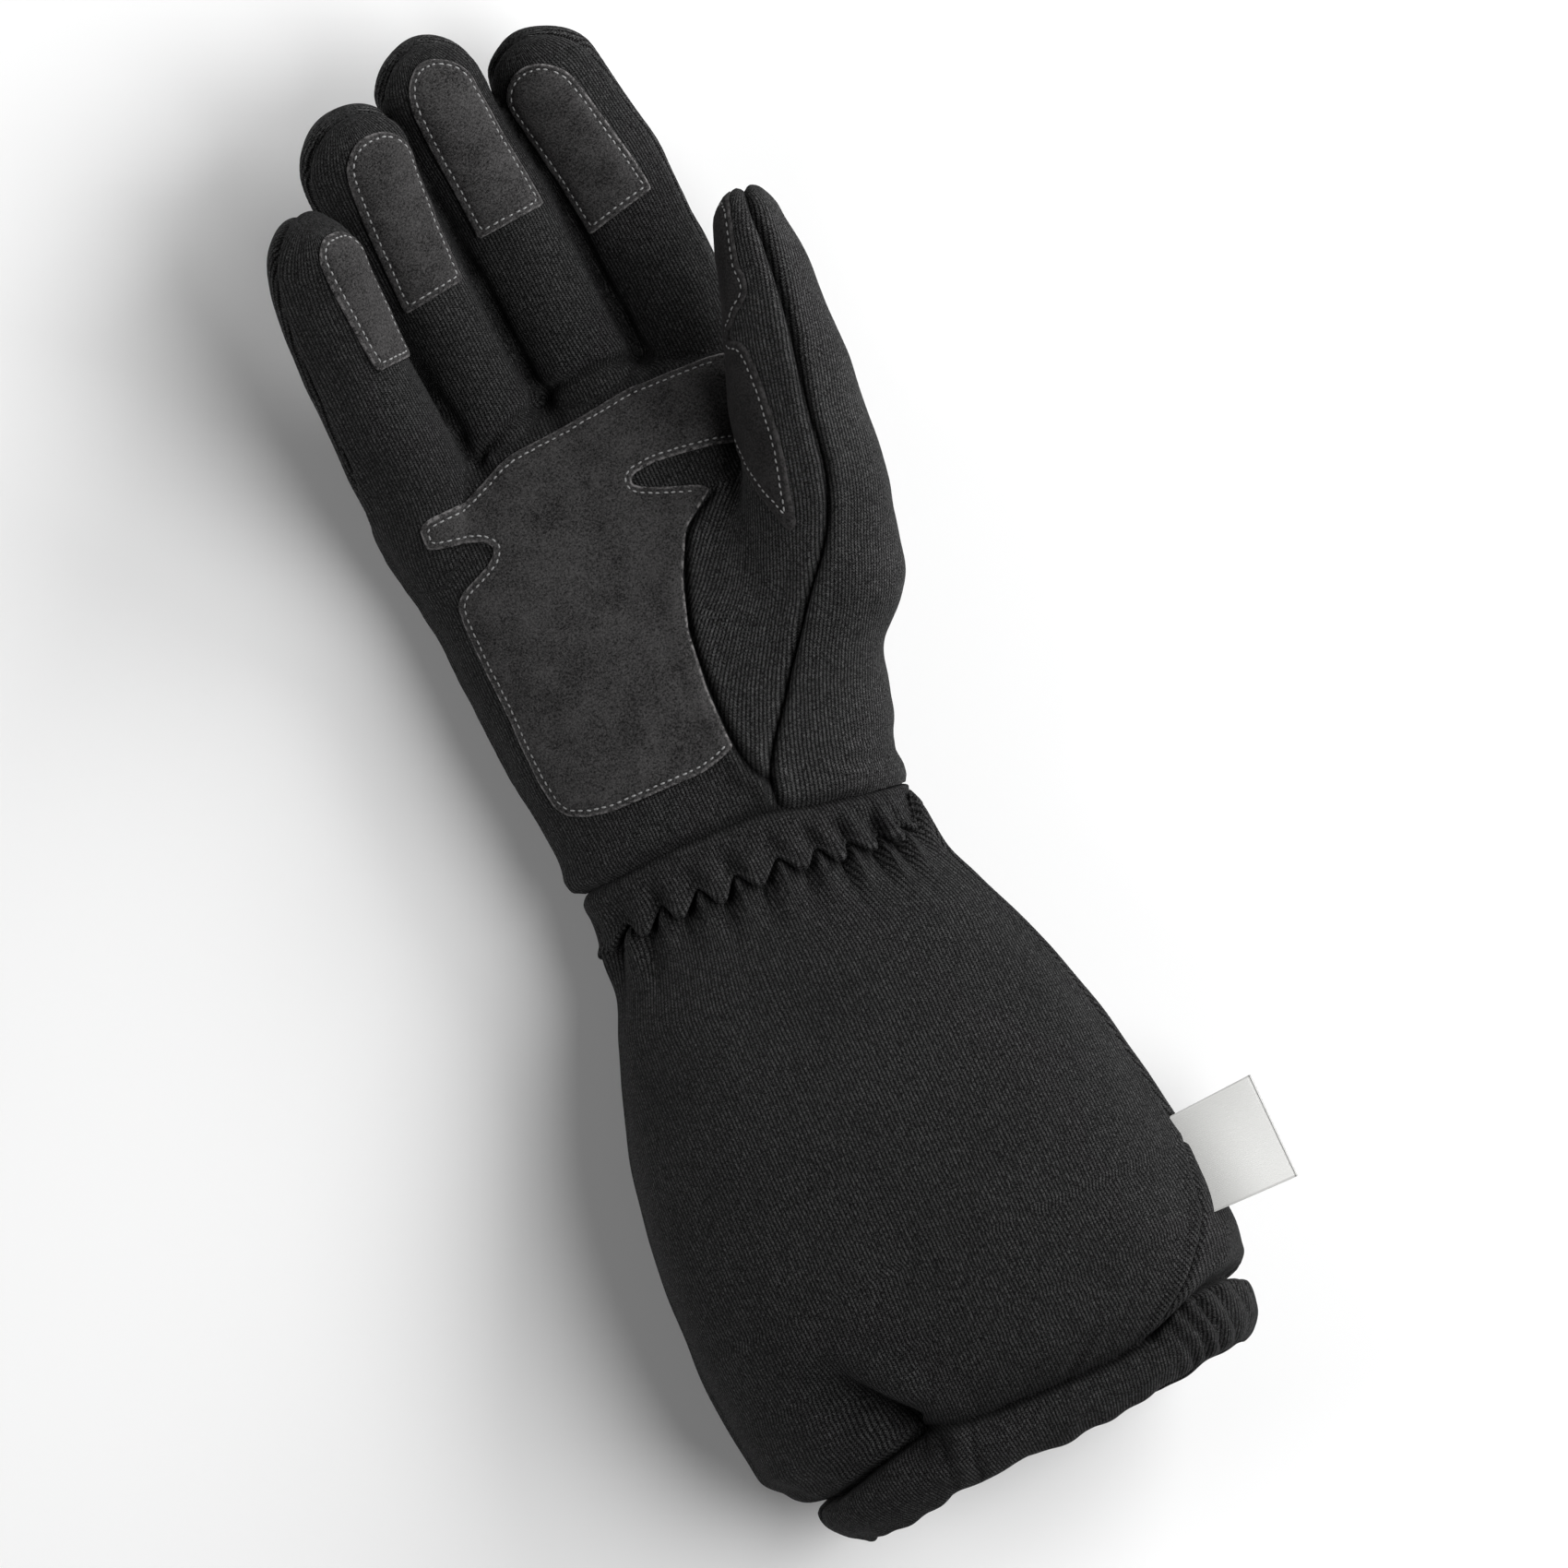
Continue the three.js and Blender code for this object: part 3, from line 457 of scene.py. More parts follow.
# Smooth waves that never quite repeat
def uneven(name, x, y):
    height, length, seed = WAVES[name]
    rng = np.random.default_rng(RANDOM_SEED + seed)
    total = 0
    for _ in range(WAVE_COUNT):
        turn = rng.uniform(0, TURN)
        size = length * rng.uniform(0.7, 1.7)
        phase = rng.uniform(0, TURN)
        total = total + np.sin(TURN * (x * math.cos(turn) + y * math.sin(turn)) / size + phase)
    return height * total / 4


def ripple(name, place):
    rate, sway, sway_rate = RIPPLES[name]
    return np.sin(place * rate + sway * np.sin(place * sway_rate))


def unit(vectors):
    return vectors / np.linalg.norm(vectors, axis=-1, keepdims=True)


# Union of two fields with a rounded inner corner
def blend_union(one, two, radius):
    h = np.clip(0.5 + 0.5 * (two - one) / radius, 0, 1)
    return mix(two, one, h) - radius * h * (1 - h)


# Centre line of a digit, sampled closely and carried on straight past both ends
class Spine:
    def __init__(self, roll, split, dome, rows, start=FINGER_START):
        self.split, self.dome, self.start = split, dome, start
        self.first, self.tip = rows[0][0], rows[-1][0]
        self.first_x = rows[0][1]
        self.y = np.arange(self.first - SPINE_MORE, self.tip + SPINE_MORE, SPINE_STEP)
        line = smooth_rows(rows, np.clip(self.y, self.first, self.tip))
        for end, step in ((self.first, 1), (self.tip, -1)):
            slope = (smooth_rows(rows, end + step) - smooth_rows(rows, end)) / step
            beyond = (self.y - end) * step < 0
            line[:2, beyond] += np.outer(slope[:2], self.y[beyond] - end)
        x, z, self.a, self.b = line
        self.centre = np.stack([x, self.y, z], 1)
        self.along = unit(np.gradient(self.centre, axis=0))
        self.arc = run_length(self.centre)
        self.dome_start = self.at(self.arc, self.tip) - dome
        up = np.array([math.sin(math.radians(roll)), 0, math.cos(math.radians(roll))])
        self.up = unit(up - self.along * (self.along @ up)[:, None])
        self.side = np.cross(self.along, self.up)

    def at(self, values, y):
        return interpolate(y, self.y, values) if values.ndim > 1 else np.interp(y, self.y, values)

    # Place along the digit, and sideways and palmwards offsets from its centre line
    def local(self, points):
        y = points[:, 1].copy()
        for _ in range(3):
            along = self.at(self.along, y)
            y += 0.9 * ((points - self.at(self.centre, y)) * along).sum(1) * along[:, 1]
            y = np.clip(y, self.y[0], self.y[-1])
        offset = points - self.at(self.centre, y)
        return y, (offset * self.at(self.side, y)).sum(1), (offset * self.at(self.up, y)).sum(1)

    # Distance to the digit's skin, less than zero inside
    def field(self, points):
        y, u, v = self.local(points)
        n = DIGIT_SQUARENESS
        across = (np.abs(u / self.at(self.a, y)) ** n + np.abs(v / self.at(self.b, y)) ** n) ** (1 / n)
        end = np.maximum(self.at(self.arc, y) - self.dome_start, 0)
        q = np.sqrt(across ** 2 + (end / self.dome) ** 2) + 1e-9
        skin = (q - 1) / q * (np.sqrt(u * u + v * v + end * end) + 1e-6)
        return np.maximum(skin, self.start - y)


SPINES = {name: Spine(**digit) for name, digit in DIGITS.items()}
PALM, BACK, THUMB = 0, 1, 2
BODY_PART, THUMB_PART = 0, 5
BODY_Y = np.arange(-175, 130, 0.5)
BODY = smooth_rows(BODY_ROWS, BODY_Y)


# Middle, half width, level and half depth of the body
def body_frame(y):
    left, right, bottom, top = [np.interp(y, BODY_Y, column) for column in BODY]
    return (left + right) / 2, (right - left) / 2, (bottom + top) / 2, (top - bottom) / 2


def body_field(points):
    x, y, z = points.T
    middle, a, level, b = body_frame(y)
    n = mix(GAUNTLET_SQUARENESS, HAND_SQUARENESS, ramp("squarer", y))
    q = (np.abs((x - middle) / a) ** n + np.abs((z - level) / b) ** n) ** (1 / n) + 1e-9
    skin = (q - 1) / q * np.sqrt((x - middle) ** 2 + (z - level) ** 2 + 1e-9)
    return -blend_union(-skin, KNUCKLES_Y - y, KNUCKLE_ROUND)


# Fields of the body, the four fingers and the thumb
def part_fields(points):
    y = points[:, 1]
    fields = np.full((len(points), 1 + len(SPINES)), FAR)
    fields[:, BODY_PART] = body_field(points)
    for k, spine in enumerate(SPINES.values(), 1):
        near = (y > spine.start - NEAR_BEFORE) & (y < spine.tip + NEAR_BEYOND)
        fields[near, k] = spine.field(points[near])
    return fields


# Body and fingers without the thumb, the ground of the palm patch
def palm_field(points, fields=None):
    fields = part_fields(points) if fields is None else fields
    return blend_union(fields[:, BODY_PART], fields[:, 1:THUMB_PART].min(1), FINGER_BLEND)


def hand_field(points):
    y = points[:, 1]
    fields = part_fields(points)
    loose = ramp("thumb root", y) * (1 - ramp("thumb free", y))
    blend = THUMB_BLEND * loose + THUMB_BLEND_LEAST
    joined = blend_union(palm_field(points, fields), fields[:, THUMB_PART], blend)
    return -blend_union(-joined, points[:, 2], FLOOR_ROUND)


# Thumb with the ball that it grows out of, the ground of the thumb's patch
def thumb_field(points):
    return np.maximum(hand_field(points), SPINES["thumb"].field(points) - THUMB_FREE_RISE)


# Field values on a grid; far from the skin one value stands for a block of 3 by 3 by 3
def sample_field(field, low, high, step):
    axes = [np.arange(a, b, step) for a, b in zip(low, high)]
    middles = [axis[1::3] if len(axis) % 3 != 1 else np.append(axis[1::3], axis[-1]) for axis in axes]
    coarse = field(np.stack(np.meshgrid(*middles, indexing="ij"), -1).reshape(-1, 3))
    values = coarse.reshape([len(m) for m in middles])
    for k in range(3):
        values = values.repeat(3, k)
    values = values[:len(axes[0]), :len(axes[1]), :len(axes[2])].copy()
    near = np.argwhere(np.abs(values) < NEAR_STEPS * step)
    values[tuple(near.T)] = field(np.stack([axes[k][near[:, k]] for k in range(3)], 1))
    return values


# Skin of a sampled field as points and four-sided faces
def surface_net(values, low, step):
    inside = values < 0
    cells = [n - 1 for n in values.shape]
    size = int(np.prod(cells))
    total, count, quads = np.zeros((size, 3)), np.zeros(size), []
    for axis in range(3):
        lower = tuple(slice(None, -1) if k == axis else slice(None) for k in range(3))
        upper = tuple(slice(1, None) if k == axis else slice(None) for k in range(3))
        edge = np.argwhere(inside[lower] != inside[upper])
        one, two = [k for k in range(3) if k != axis]
        for k in (one, two):
            edge = edge[(edge[:, k] > 0) & (edge[:, k] < cells[k])]
        first, second = values[lower][tuple(edge.T)], values[upper][tuple(edge.T)]
        place = edge.astype(float)
        place[:, axis] += first / (first - second)
        corners = []
        for d1, d2 in ((-1, -1), (0, -1), (0, 0), (-1, 0)):
            cell = edge.copy()
            cell[:, one] += d1
            cell[:, two] += d2
            corners.append(np.ravel_multi_index(tuple(cell.T), cells))
            count += np.bincount(corners[-1], minlength=size)
            for k in range(3):
                total[:, k] += np.bincount(corners[-1], place[:, k], size)
        quad = np.stack(corners, 1)
        flip = (first < 0) if axis == 1 else (first > 0)
        quad[flip] = quad[flip][:, ::-1]
        quads.append(quad)
    used = np.flatnonzero(count)
    number = np.zeros(size, int)
    number[used] = np.arange(len(used))
    return total[used] / count[used, None] * step + np.array(low), number[np.concatenate(quads)]


# Mean of each point's neighbours along the faces' edges
def neighbour_mean(points, faces):
    total, count = np.zeros_like(points), np.zeros(len(points))
    ahead = np.roll(faces, -1, 1)
    for here, there in zip(faces.T, ahead.T):
        for a, b in ((here, there), (there, here)):
            for k in range(3):
                total[:, k] += np.bincount(a, points[b, k], len(points))
            count += np.bincount(a, minlength=len(points))
    return total / np.maximum(count, 1)[:, None]


# Slope of a field at points
def gradient(field, points, width=0.3):
    steps = np.eye(3) * width
    return np.stack([field(points + step) - field(points - step) for step in steps], 1) / (2 * width)


# Step along slopes that takes values to zero
def step_to_zero(values, slope, least):
    return -values[:, None] * slope / np.maximum((slope ** 2).sum(1), least)[:, None]


def onto_skin(points):
    return points + step_to_zero(hand_field(points), gradient(hand_field, points), 0.05)


# Distance to a line of points, positive on its right
def line_distance(line, x, y):
    best = np.full(np.shape(x), np.inf)
    sign = np.ones(np.shape(x))
    for (ax, ay), (bx, by) in zip(line, line[1:]):
        dx, dy = bx - ax, by - ay
        t = np.clip(((x - ax) * dx + (y - ay) * dy) / (dx * dx + dy * dy), 0, 1)
        gap = np.hypot(x - ax - t * dx, y - ay - t * dy)
        side = np.where(dy * (x - ax) - dx * (y - ay) >= 0, 1.0, -1.0)
        sign = np.where(gap < best, side, sign)
        best = np.minimum(gap, best)
    return best * sign


# Line through points, rounded with a curve and cut into steps of about 1 mm
def smooth_line(points):
    points = np.array(points, float)
    keys = run_length(points)
    places = np.linspace(0, keys[-1], max(int(keys[-1]), 2) + 1)
    return smooth_rows(np.column_stack([keys, points]), places).T


GUSSET_LINE, THUMB_LINE, FOLD_LINE = [smooth_line(line) for line in (GUSSET_SEAM, THUMB_SEAM, FOLD)]


# Which of the hand's parts points are on, and their distances: over the side seams, from the gusset seam, the
# thumb's seam and the thumb's crotch, and between two fingers
def hand_place(points):
    fields = part_fields(points)
    body, thumb = fields[:, BODY_PART], fields[:, THUMB_PART]
    part = fields.argmin(1)
    x, y, z = points.T
    _, _, level, depth = body_frame(y)
    over = z - (level + depth * (2 * HAND_SPLIT - 1))
    for k, name in enumerate(FINGERS, 1):
        near = (part == k) | (part == BODY_PART) & (fields[:, k] < body + SPLIT_MERGE)
        if near.any():
            spine = SPINES[name]
            own = spine.local(points[near])[2] - spine.split
            share = ramp("split merge", (body - fields[:, k])[near]) * ramp("split", y[near])
            over[near] = mix(over[near], own, share)
    fingers = np.sort(fields[:, 1:THUMB_PART], axis=1)
    return SimpleNamespace(
        part=part, over=over, gusset=line_distance(GUSSET_LINE, x, y), seam=line_distance(THUMB_LINE, x, y),
        crotch=body - thumb, between=fingers[:, 1] - fingers[:, 0])


# Distance to each line where two panels of the hand can meet
def seam_distances(points):
    place = hand_place(points)
    y = points[:, 1]
    return np.stack([place.gusset, place.seam, place.over, place.crotch, y - BALL_TOP_Y, y - TUBE_FROM_Y], 1)


def hand_panel(points, place):
    y = points[:, 1]
    on_thumb, palmward = place.part == THUMB_PART, place.over > 0
    panel = np.where(palmward, PALM, BACK)
    ball = palmward & (place.gusset > 0) & (y < BALL_TOP_Y) & (y > BALL_FROM_Y)
    panel[(ball | on_thumb & (y > TUBE_FROM_Y)) & (place.seam < 0)] = THUMB
    panel[(place.seam > 0) & ((y < WRAPPED_TO_Y) & palmward | on_thumb)] = BACK
    return panel


# How far the hand's cloth stands in or out along its normal
def hand_relief(points, place):
    x, y, z = points.T
    on_thumb = place.part == THUMB_PART
    upper = ramp("palm side", place.over)
    lift = relief("seam", abs(place.gusset)) * upper * ramp("gusset", y)
    fade = 1 - THUMB_TIP_FADE * ramp("thumb tip", y)
    lift += relief("seam", abs(place.seam)) * (on_thumb | (place.over > 0)) * fade
    lift += relief("between fingers", place.between) * ramp("between fingers", y)
    side = np.where(on_thumb & (y > TUBE_FROM_Y), FAR, abs(place.over))
    apart = np.where(y > APART_FROM_Y, ramp("fingers apart", place.between), 1.0)
    lift += relief("side seam", side) * (place.seam < SIDE_SEAM_TO) * apart
    lift += relief("finger bases", line_distance(FINGER_BASES, x, y)) * ramp("finger bases", x) * upper
    ball = ramp("ball edge", np.minimum(place.gusset, -place.seam)) * ramp("ball", y)
    lift += BALL_BULGE * ball * upper
    wrist = y - read_line(WRIST_SEAM, x)
    lift += mix(relief("wrist", wrist), relief("wrist by thumb", wrist), ramp("wrist by thumb", x))
    lift += uneven("hand", x, y) + uneven("hand, fine", x + z, y - z)
    # Small creases above the wrist seam on the thumb side
    wave = np.sin(TURN * (y + CREASE_SLANT * x) / CREASE_PITCH + CREASE_SWAY * np.sin(x * CREASE_SWAY_RATE))
    return lift + wave * relief("creases, x", x) * relief("creases, y", y) * upper


def new_object(name, data):
    made = bpy.data.objects.new(name, data)
    bpy.context.scene.collection.objects.link(made)
    return made


# Object in metres from points in millimetres, with a named list of numbers for its points
def make_piece(name, points, faces, **values):
    used, number = np.unique(faces, return_inverse=True)
    points = (points.reshape(-1, 3)[used] - ORIGIN) * MM
    mesh = bpy.data.meshes.new(name)
    mesh.from_pydata(points, [], number.reshape(faces.shape), shade_flat=False)
    for key, numbers in values.items():
        layer = mesh.attributes.new(key, "FLOAT", "POINT")
        layer.data.foreach_set("value", numbers.ravel()[used].astype(np.float32))
    mesh.validate()
    return new_object(name, mesh)


# Quarter round of the hand: angle against length from the middle of its flat side
QUARTER = np.linspace(0, TURN / 4, QUARTER_STEPS)
QUARTER_X = np.sin(QUARTER) ** (2 / HAND_SQUARENESS)
QUARTER_Z = np.cos(QUARTER) ** (2 / HAND_SQUARENESS)
GIRTH_ANGLES = np.arctan2(QUARTER_X, QUARTER_Z)
GIRTH_LENGTHS = run_length(np.stack([QUARTER_X, HAND_FLATNESS * QUARTER_Z], 1))


# Millimetres across the knit's ribs and along them on one panel, for the yarn pattern
def hand_yarn(points, place, panel):
    x, y, z = points.T
    middle, a, level, b = body_frame(y)
    up = -1.0 if panel == BACK else 1.0
    angle = np.arctan2(np.abs(x - middle) / a, up * (z - level) / b)
    girth = np.interp(angle, GIRTH_ANGLES, GIRTH_LENGTHS) + np.maximum(angle - TURN / 4, 0) * HAND_FLATNESS
    wale, course = middle + np.sign(x - middle) * girth * a, y.copy()
    wrapped = (place.seam > WRAPPED_SEAM) & (place.over > WRAPPED_OVER) & (y < TUBE_FROM_Y)
    for k, (name, spine) in enumerate(SPINES.items(), 1):
        on = place.part == k
        if name == "thumb":
            on = np.full(len(points), True) if panel == THUMB else on | wrapped
        at, u, v = spine.local(points[on])
        radius = np.sqrt(spine.at(spine.a, at) * spine.at(spine.b, at))
        turned = np.arctan2(u, -v if panel == BACK and name != "thumb" else v)
        wale[on] = spine.first_x + turned * np.maximum(radius, np.hypot(u, v))
        course[on] = spine.at(spine.arc, at) + spine.first
    return dict(wale=wale, course=course)


# Draws the points of the hand's skin that two panels share onto the line where they meet
def snap_to_seams(points, shared):
    for _ in range(2):
        here = points[shared]
        heights = seam_distances(here)
        nearest = np.abs(heights).argmin(1)
        row = np.arange(len(here))
        slope = gradient(lambda p: seam_distances(p)[row, nearest], here)
        normal = unit(gradient(hand_field, here))
        slope -= normal * (slope * normal).sum(1)[:, None]
        move = step_to_zero(heights[row, nearest], slope, 0.15)
        move[np.linalg.norm(move, axis=1) > SNAP_REACH] = 0
        points[shared] = here + move
    return points


# Marks the points that the chosen faces use
def points_of(faces, size):
    marked = np.zeros(size, bool)
    marked[faces.ravel()] = True
    return marked


def build_hand():
    low, high = HAND_BOX
    points, faces = surface_net(sample_field(hand_field, low, high, GRID_STEP), low, GRID_STEP)
    for _ in range(3):
        points = onto_skin(mix(points, neighbour_mean(points, faces), SMOOTHING))
    size = len(points)
    middles = points[faces].mean(1)
    panel = hand_panel(middles, hand_place(middles))
    kept = middles[:, 1] > read_line(WRIST_SEAM, middles[:, 0])
    shared = sum(points_of(faces[kept & (panel == k)], size).astype(int) for k in (PALM, BACK, THUMB)) > 1
    points = snap_to_seams(points, shared)
    edge = points_of(faces[kept], size) & points_of(faces[~kept], size)
    points[edge, 1] = read_line(WRIST_SEAM, points[edge, 0])
    points = bare = onto_skin(points)
    slope = gradient(hand_field, points)
    place = hand_place(points)
    lift = hand_relief(points, place) * ramp("steady skin", np.linalg.norm(slope, axis=1))
    points = points + unit(slope) * lift[:, None]
    # The valleys between the fingers are evened out
    valley = bell(place.between, VALLEY_REACH) * ramp("valley", bare[:, 1])
    for _ in range(VALLEY_ROUNDS):
        points = mix(points, neighbour_mean(points, faces), (VALLEY_SHARE * valley)[:, None])
    points[:, 2] = np.maximum(points[:, 2], 0.0)
    return {name: make_piece(name + ".knit", points, faces[kept & (panel == k)], **hand_yarn(bare, place, k))
            for k, name in enumerate(("palm_panel", "back_panel", "thumb_panel"))}


# Signed power that turns a circle into a squarer round
def squared(value):
    return np.sign(value) * np.abs(value) ** (2 / GAUNTLET_SQUARENESS)


def right_angle(y):
    if y > RIGHT_SEAM[-1][0]:
        return RIGHT_ANGLE
    middle, a, _, _ = body_frame(max(y, BODY_ROWS[0][0]))
    reach = (read_line(RIGHT_SEAM, y) - middle) / a
    return max(RIGHT_ANGLE, math.acos(reach ** (GAUNTLET_SQUARENESS / 2)))


# Even steps along the body's outline at one y, between two angles, and the length between them
def body_arc(y, start, end, count=2):
    middle, a, level, b = body_frame(max(y, BODY_ROWS[0][0]))
    angle = np.linspace(start, end, ARC_STEPS)
    x, z = middle + a * squared(np.cos(angle)), level + b * squared(np.sin(angle))
    outline = np.stack([x, np.full(ARC_STEPS, y), -blend_union(-z, 0, FLOOR_ROUND)], 1)
    length = run_length(outline)
    return interpolate(np.linspace(0, length[-1], count), length, outline), length[-1]


# Cloth round the body between two angles, with the same number of columns all along
class Wrap:
    def __init__(self, start, end, columns):
        rings = [body_arc(y, start(y), end(y), columns) for y in WRAP_Y]
        self.points = np.stack([ring[0] for ring in rings])
        self.lengths = [ring[1] for ring in rings]
        self.columns = np.arange(columns)
        self.share = np.linspace(0, 1, columns)

    def at(self, y):
        place = np.array((y - WRAP_Y[0]) / (WRAP_Y[1] - WRAP_Y[0]))
        i = np.clip(place.astype(int), 0, len(WRAP_Y) - 2)
        return mix(self.points[i, self.columns], self.points[i + 1, self.columns], (place - i)[..., None])

    def length(self, y):
        return np.interp(y, WRAP_Y, self.lengths)


# Girth at the gathers, from the middle of the palm side towards the thumb side
def girth_at_gathers():
    points, length = body_arc(GATHER_Y, 0, TURN, GIRTH_STEPS)
    upper = slice(GIRTH_STEPS // 2 + 1)
    x, arc = points[upper, 0], np.linspace(0, length, GIRTH_STEPS)[upper]
    top = arc[np.abs(x).argmin()]
    return x[::-1], (top - arc)[::-1], length, top


GIRTH_X, GIRTH_C, GIRTH, GIRTH_TOP = girth_at_gathers()
ZIGZAG_C = [float(np.interp(x, GIRTH_X, GIRTH_C)) for x, _ in ZIGZAG]
ZIGZAG_Y = [float(y) for _, y in ZIGZAG]
rest = GIRTH - (ZIGZAG_C[-1] - ZIGZAG_C[0])
halves = 2 * round(rest / BACK_TOOTH)
for k in range(1, halves):
    ZIGZAG_C.append(ZIGZAG_C[-1] + rest / halves)
    ZIGZAG_Y.append(BACK_HIGH if k % 2 else BACK_LOW)
ZIGZAG_C.append(ZIGZAG_C[0] + GIRTH)
ZIGZAG_Y.append(ZIGZAG_Y[0])


# Value at the zigzag's tips, read along the girth
def zigzag(values, c):
    return np.interp(ZIGZAG_C[0] + np.mod(c - ZIGZAG_C[0], GIRTH), ZIGZAG_C, values)


def zigzag_y(c):
    return sum(zigzag(ZIGZAG_Y, c + d) for d in (-TIP_ROUND, 0, TIP_ROUND)) / 3


# 1 over the upper tips of the zigzag, -1 over its lower tips
def tooth_wave(c):
    return -np.cos(zigzag(np.arange(len(ZIGZAG_C)) * math.pi, c))


def grid_faces(rows, columns, closed=False):
    r, c = np.meshgrid(np.arange(rows - 1), np.arange(columns if closed else columns - 1), indexing="ij")
    here, after = r * columns + c, r * columns + (c + 1) % columns
    return np.stack([here, after, after + columns, here + columns], -1).reshape(-1, 4)


# Points of a grid round the body moved straight out of its outline, but not through the floor
def stand_out(base, lift, closed=False, floor=0.0):
    right = np.roll(base, -1, 1) - np.roll(base, 1, 1) if closed else np.gradient(base, axis=1)
    outwards = unit(right[..., [2, 1, 0]] * [1, 0, -1])
    points = base + outwards * lift[..., None]
    points[..., 2] = np.maximum(points[..., 2], floor)
    return points


def fold_relief(x, y):
    distance = line_distance(FOLD_LINE, x, y)
    return ramp("fold", y) * np.where(distance > 0, relief("fold, right", distance), relief("fold", distance))


# Depth and reach of the roll into the crease over the hem, widest and deepest beside the long fold
def roll(x, front):
    beside = bell(x - ROLL_X, ROLL_SPAN) * front
    return ROLL_DEPTH + ROLL_DEPTH_MORE * beside, ROLL_REACH + ROLL_REACH_MORE * beside


# How far the gauntlet's cloth stands out: c is the girth at the gathers
def gauntlet_relief(x, y, c, seam_gap, crease, front):
    below = zigzag_y(c) - y
    edge = ramp("gathers by thumb", x)
    gathers = GATHERS * (1 - GATHERS_LESS_BY_THUMB * edge) * (1 + uneven("gathers", c, 0)) * tooth_wave(c)
    lift = relief("under band", np.maximum(below, 0)) + relief("below band", below)
    lift += gathers * ramp("gathers", below)
    lift += FINE_GATHERS * (1 - edge) * ripple("fine gathers", c) * ramp("fine gathers", below)
    over = y - crease
    inside = np.maximum(over, 0)
    depth, reach = roll(x, front)
    lift += relief("crease", inside) + relief("over crease", over) - depth * bell(inside, reach)
    small = SMALL_PUCKERS * np.sin(c * SMALL_PUCKER_RATE + SMALL_PUCKER_PHASE)
    lift += (ripple("puckers", c) + small) * relief("puckers", over)
    seam = "front seam" if front else "back seam"
    lift += mix(relief(seam, seam_gap), relief(seam + ", low", seam_gap), ramp("low seam", y))
    lift += (uneven("gauntlet", c, y) + uneven("gauntlet, fine", c, y)) * ramp("waves", y)
    if front:
        lift += fold_relief(x, y) * (1 + relief("fold, crease", inside))
    return lift


# Front or back of the gauntlet, from under the band's zigzag down to the crease over the hem
def build_gauntlet(name, start, end, front):
    columns = int(body_arc(WIDEST_Y, start(WIDEST_Y), end(WIDEST_Y))[1] / CLOTH_STEP)
    wrap = Wrap(start, end, columns)
    c = GIRTH_TOP - body_arc(GATHER_Y, 0, start(GATHER_Y))[1] - wrap.share * wrap.length(GATHER_Y)
    behind = wrap.share * wrap.length(HEM_Y) / body_arc(HEM_Y, LEFT_ANGLE, RIGHT_ANGLE + TURN)[1]
    palm_crease = read_line(CREASE, wrap.at(HEM_Y)[:, 0])
    crease = np.where(front | (behind > 1), palm_crease, read_line(BACK_CREASE, behind))
    top = zigzag_y(c) + UNDER_BAND
    rows = int((top.mean() - crease.mean()) / CLOTH_STEP)
    t = np.append(np.linspace(0, CREASE_FROM, rows), np.linspace(CREASE_FROM, 1, CREASE_ROWS)[1:])
    y = mix(top, crease - UNDER_CREASE, t[:, None])
    base, width = wrap.at(y), wrap.length(y)
    seam_gap = np.minimum(wrap.share, 1 - wrap.share) * width
    lift = gauntlet_relief(base[..., 0], y, c, seam_gap, crease, front)
    # Ribs are counted from the middle line
    near = slice(int(columns * MIDDLE_WITHIN))
    order = -1 if front else 1
    middle = np.array([np.interp(0, row[near, 0][::order], wrap.share[near][::order]) for row in base])
    wale = (wrap.share - middle[:, None]) * width * (1 + GATHERED_DENSER * ramp("gathered cloth", y))
    some = slice(None, None, INNER_STRIDE)
    inner = stand_out(base, lift - WALL, floor=INNER_FLOOR)[some, some]
    faces = np.append(grid_faces(*y.shape), grid_faces(*inner.shape[:2])[:, ::-1] + y.size, axis=0)
    return make_piece(name, np.append(stand_out(base, lift), inner), faces,
                      wale=np.append(wale, wale[some, some]), course=np.append(y, y[some, some]))


# Columns of a table at a number of even places between its first row and its last, and the places
def table_columns(rows, count):
    places = np.linspace(0, len(rows) - 1, count)
    return *smooth_rows([(k, *row) for k, row in enumerate(rows)], places)[..., None], places[:, None]


# Closed piece round the glove from its grid of points, with the knit's courses counted down from the top
def ring_piece(name, base, lift, wale):
    points = stand_out(base, lift, closed=True)
    steps = np.linalg.norm(np.diff(points, axis=0, prepend=points[:1]), axis=-1)
    faces = grid_faces(*lift.shape, closed=True)
    wale = np.broadcast_to(wale, lift.shape)
    return make_piece(name, points, faces, wale=wale, course=-np.cumsum(steps, axis=0))


def ring(columns):
    return Wrap(lambda y: 0, lambda y: TURN * (1 - 1 / columns), columns)


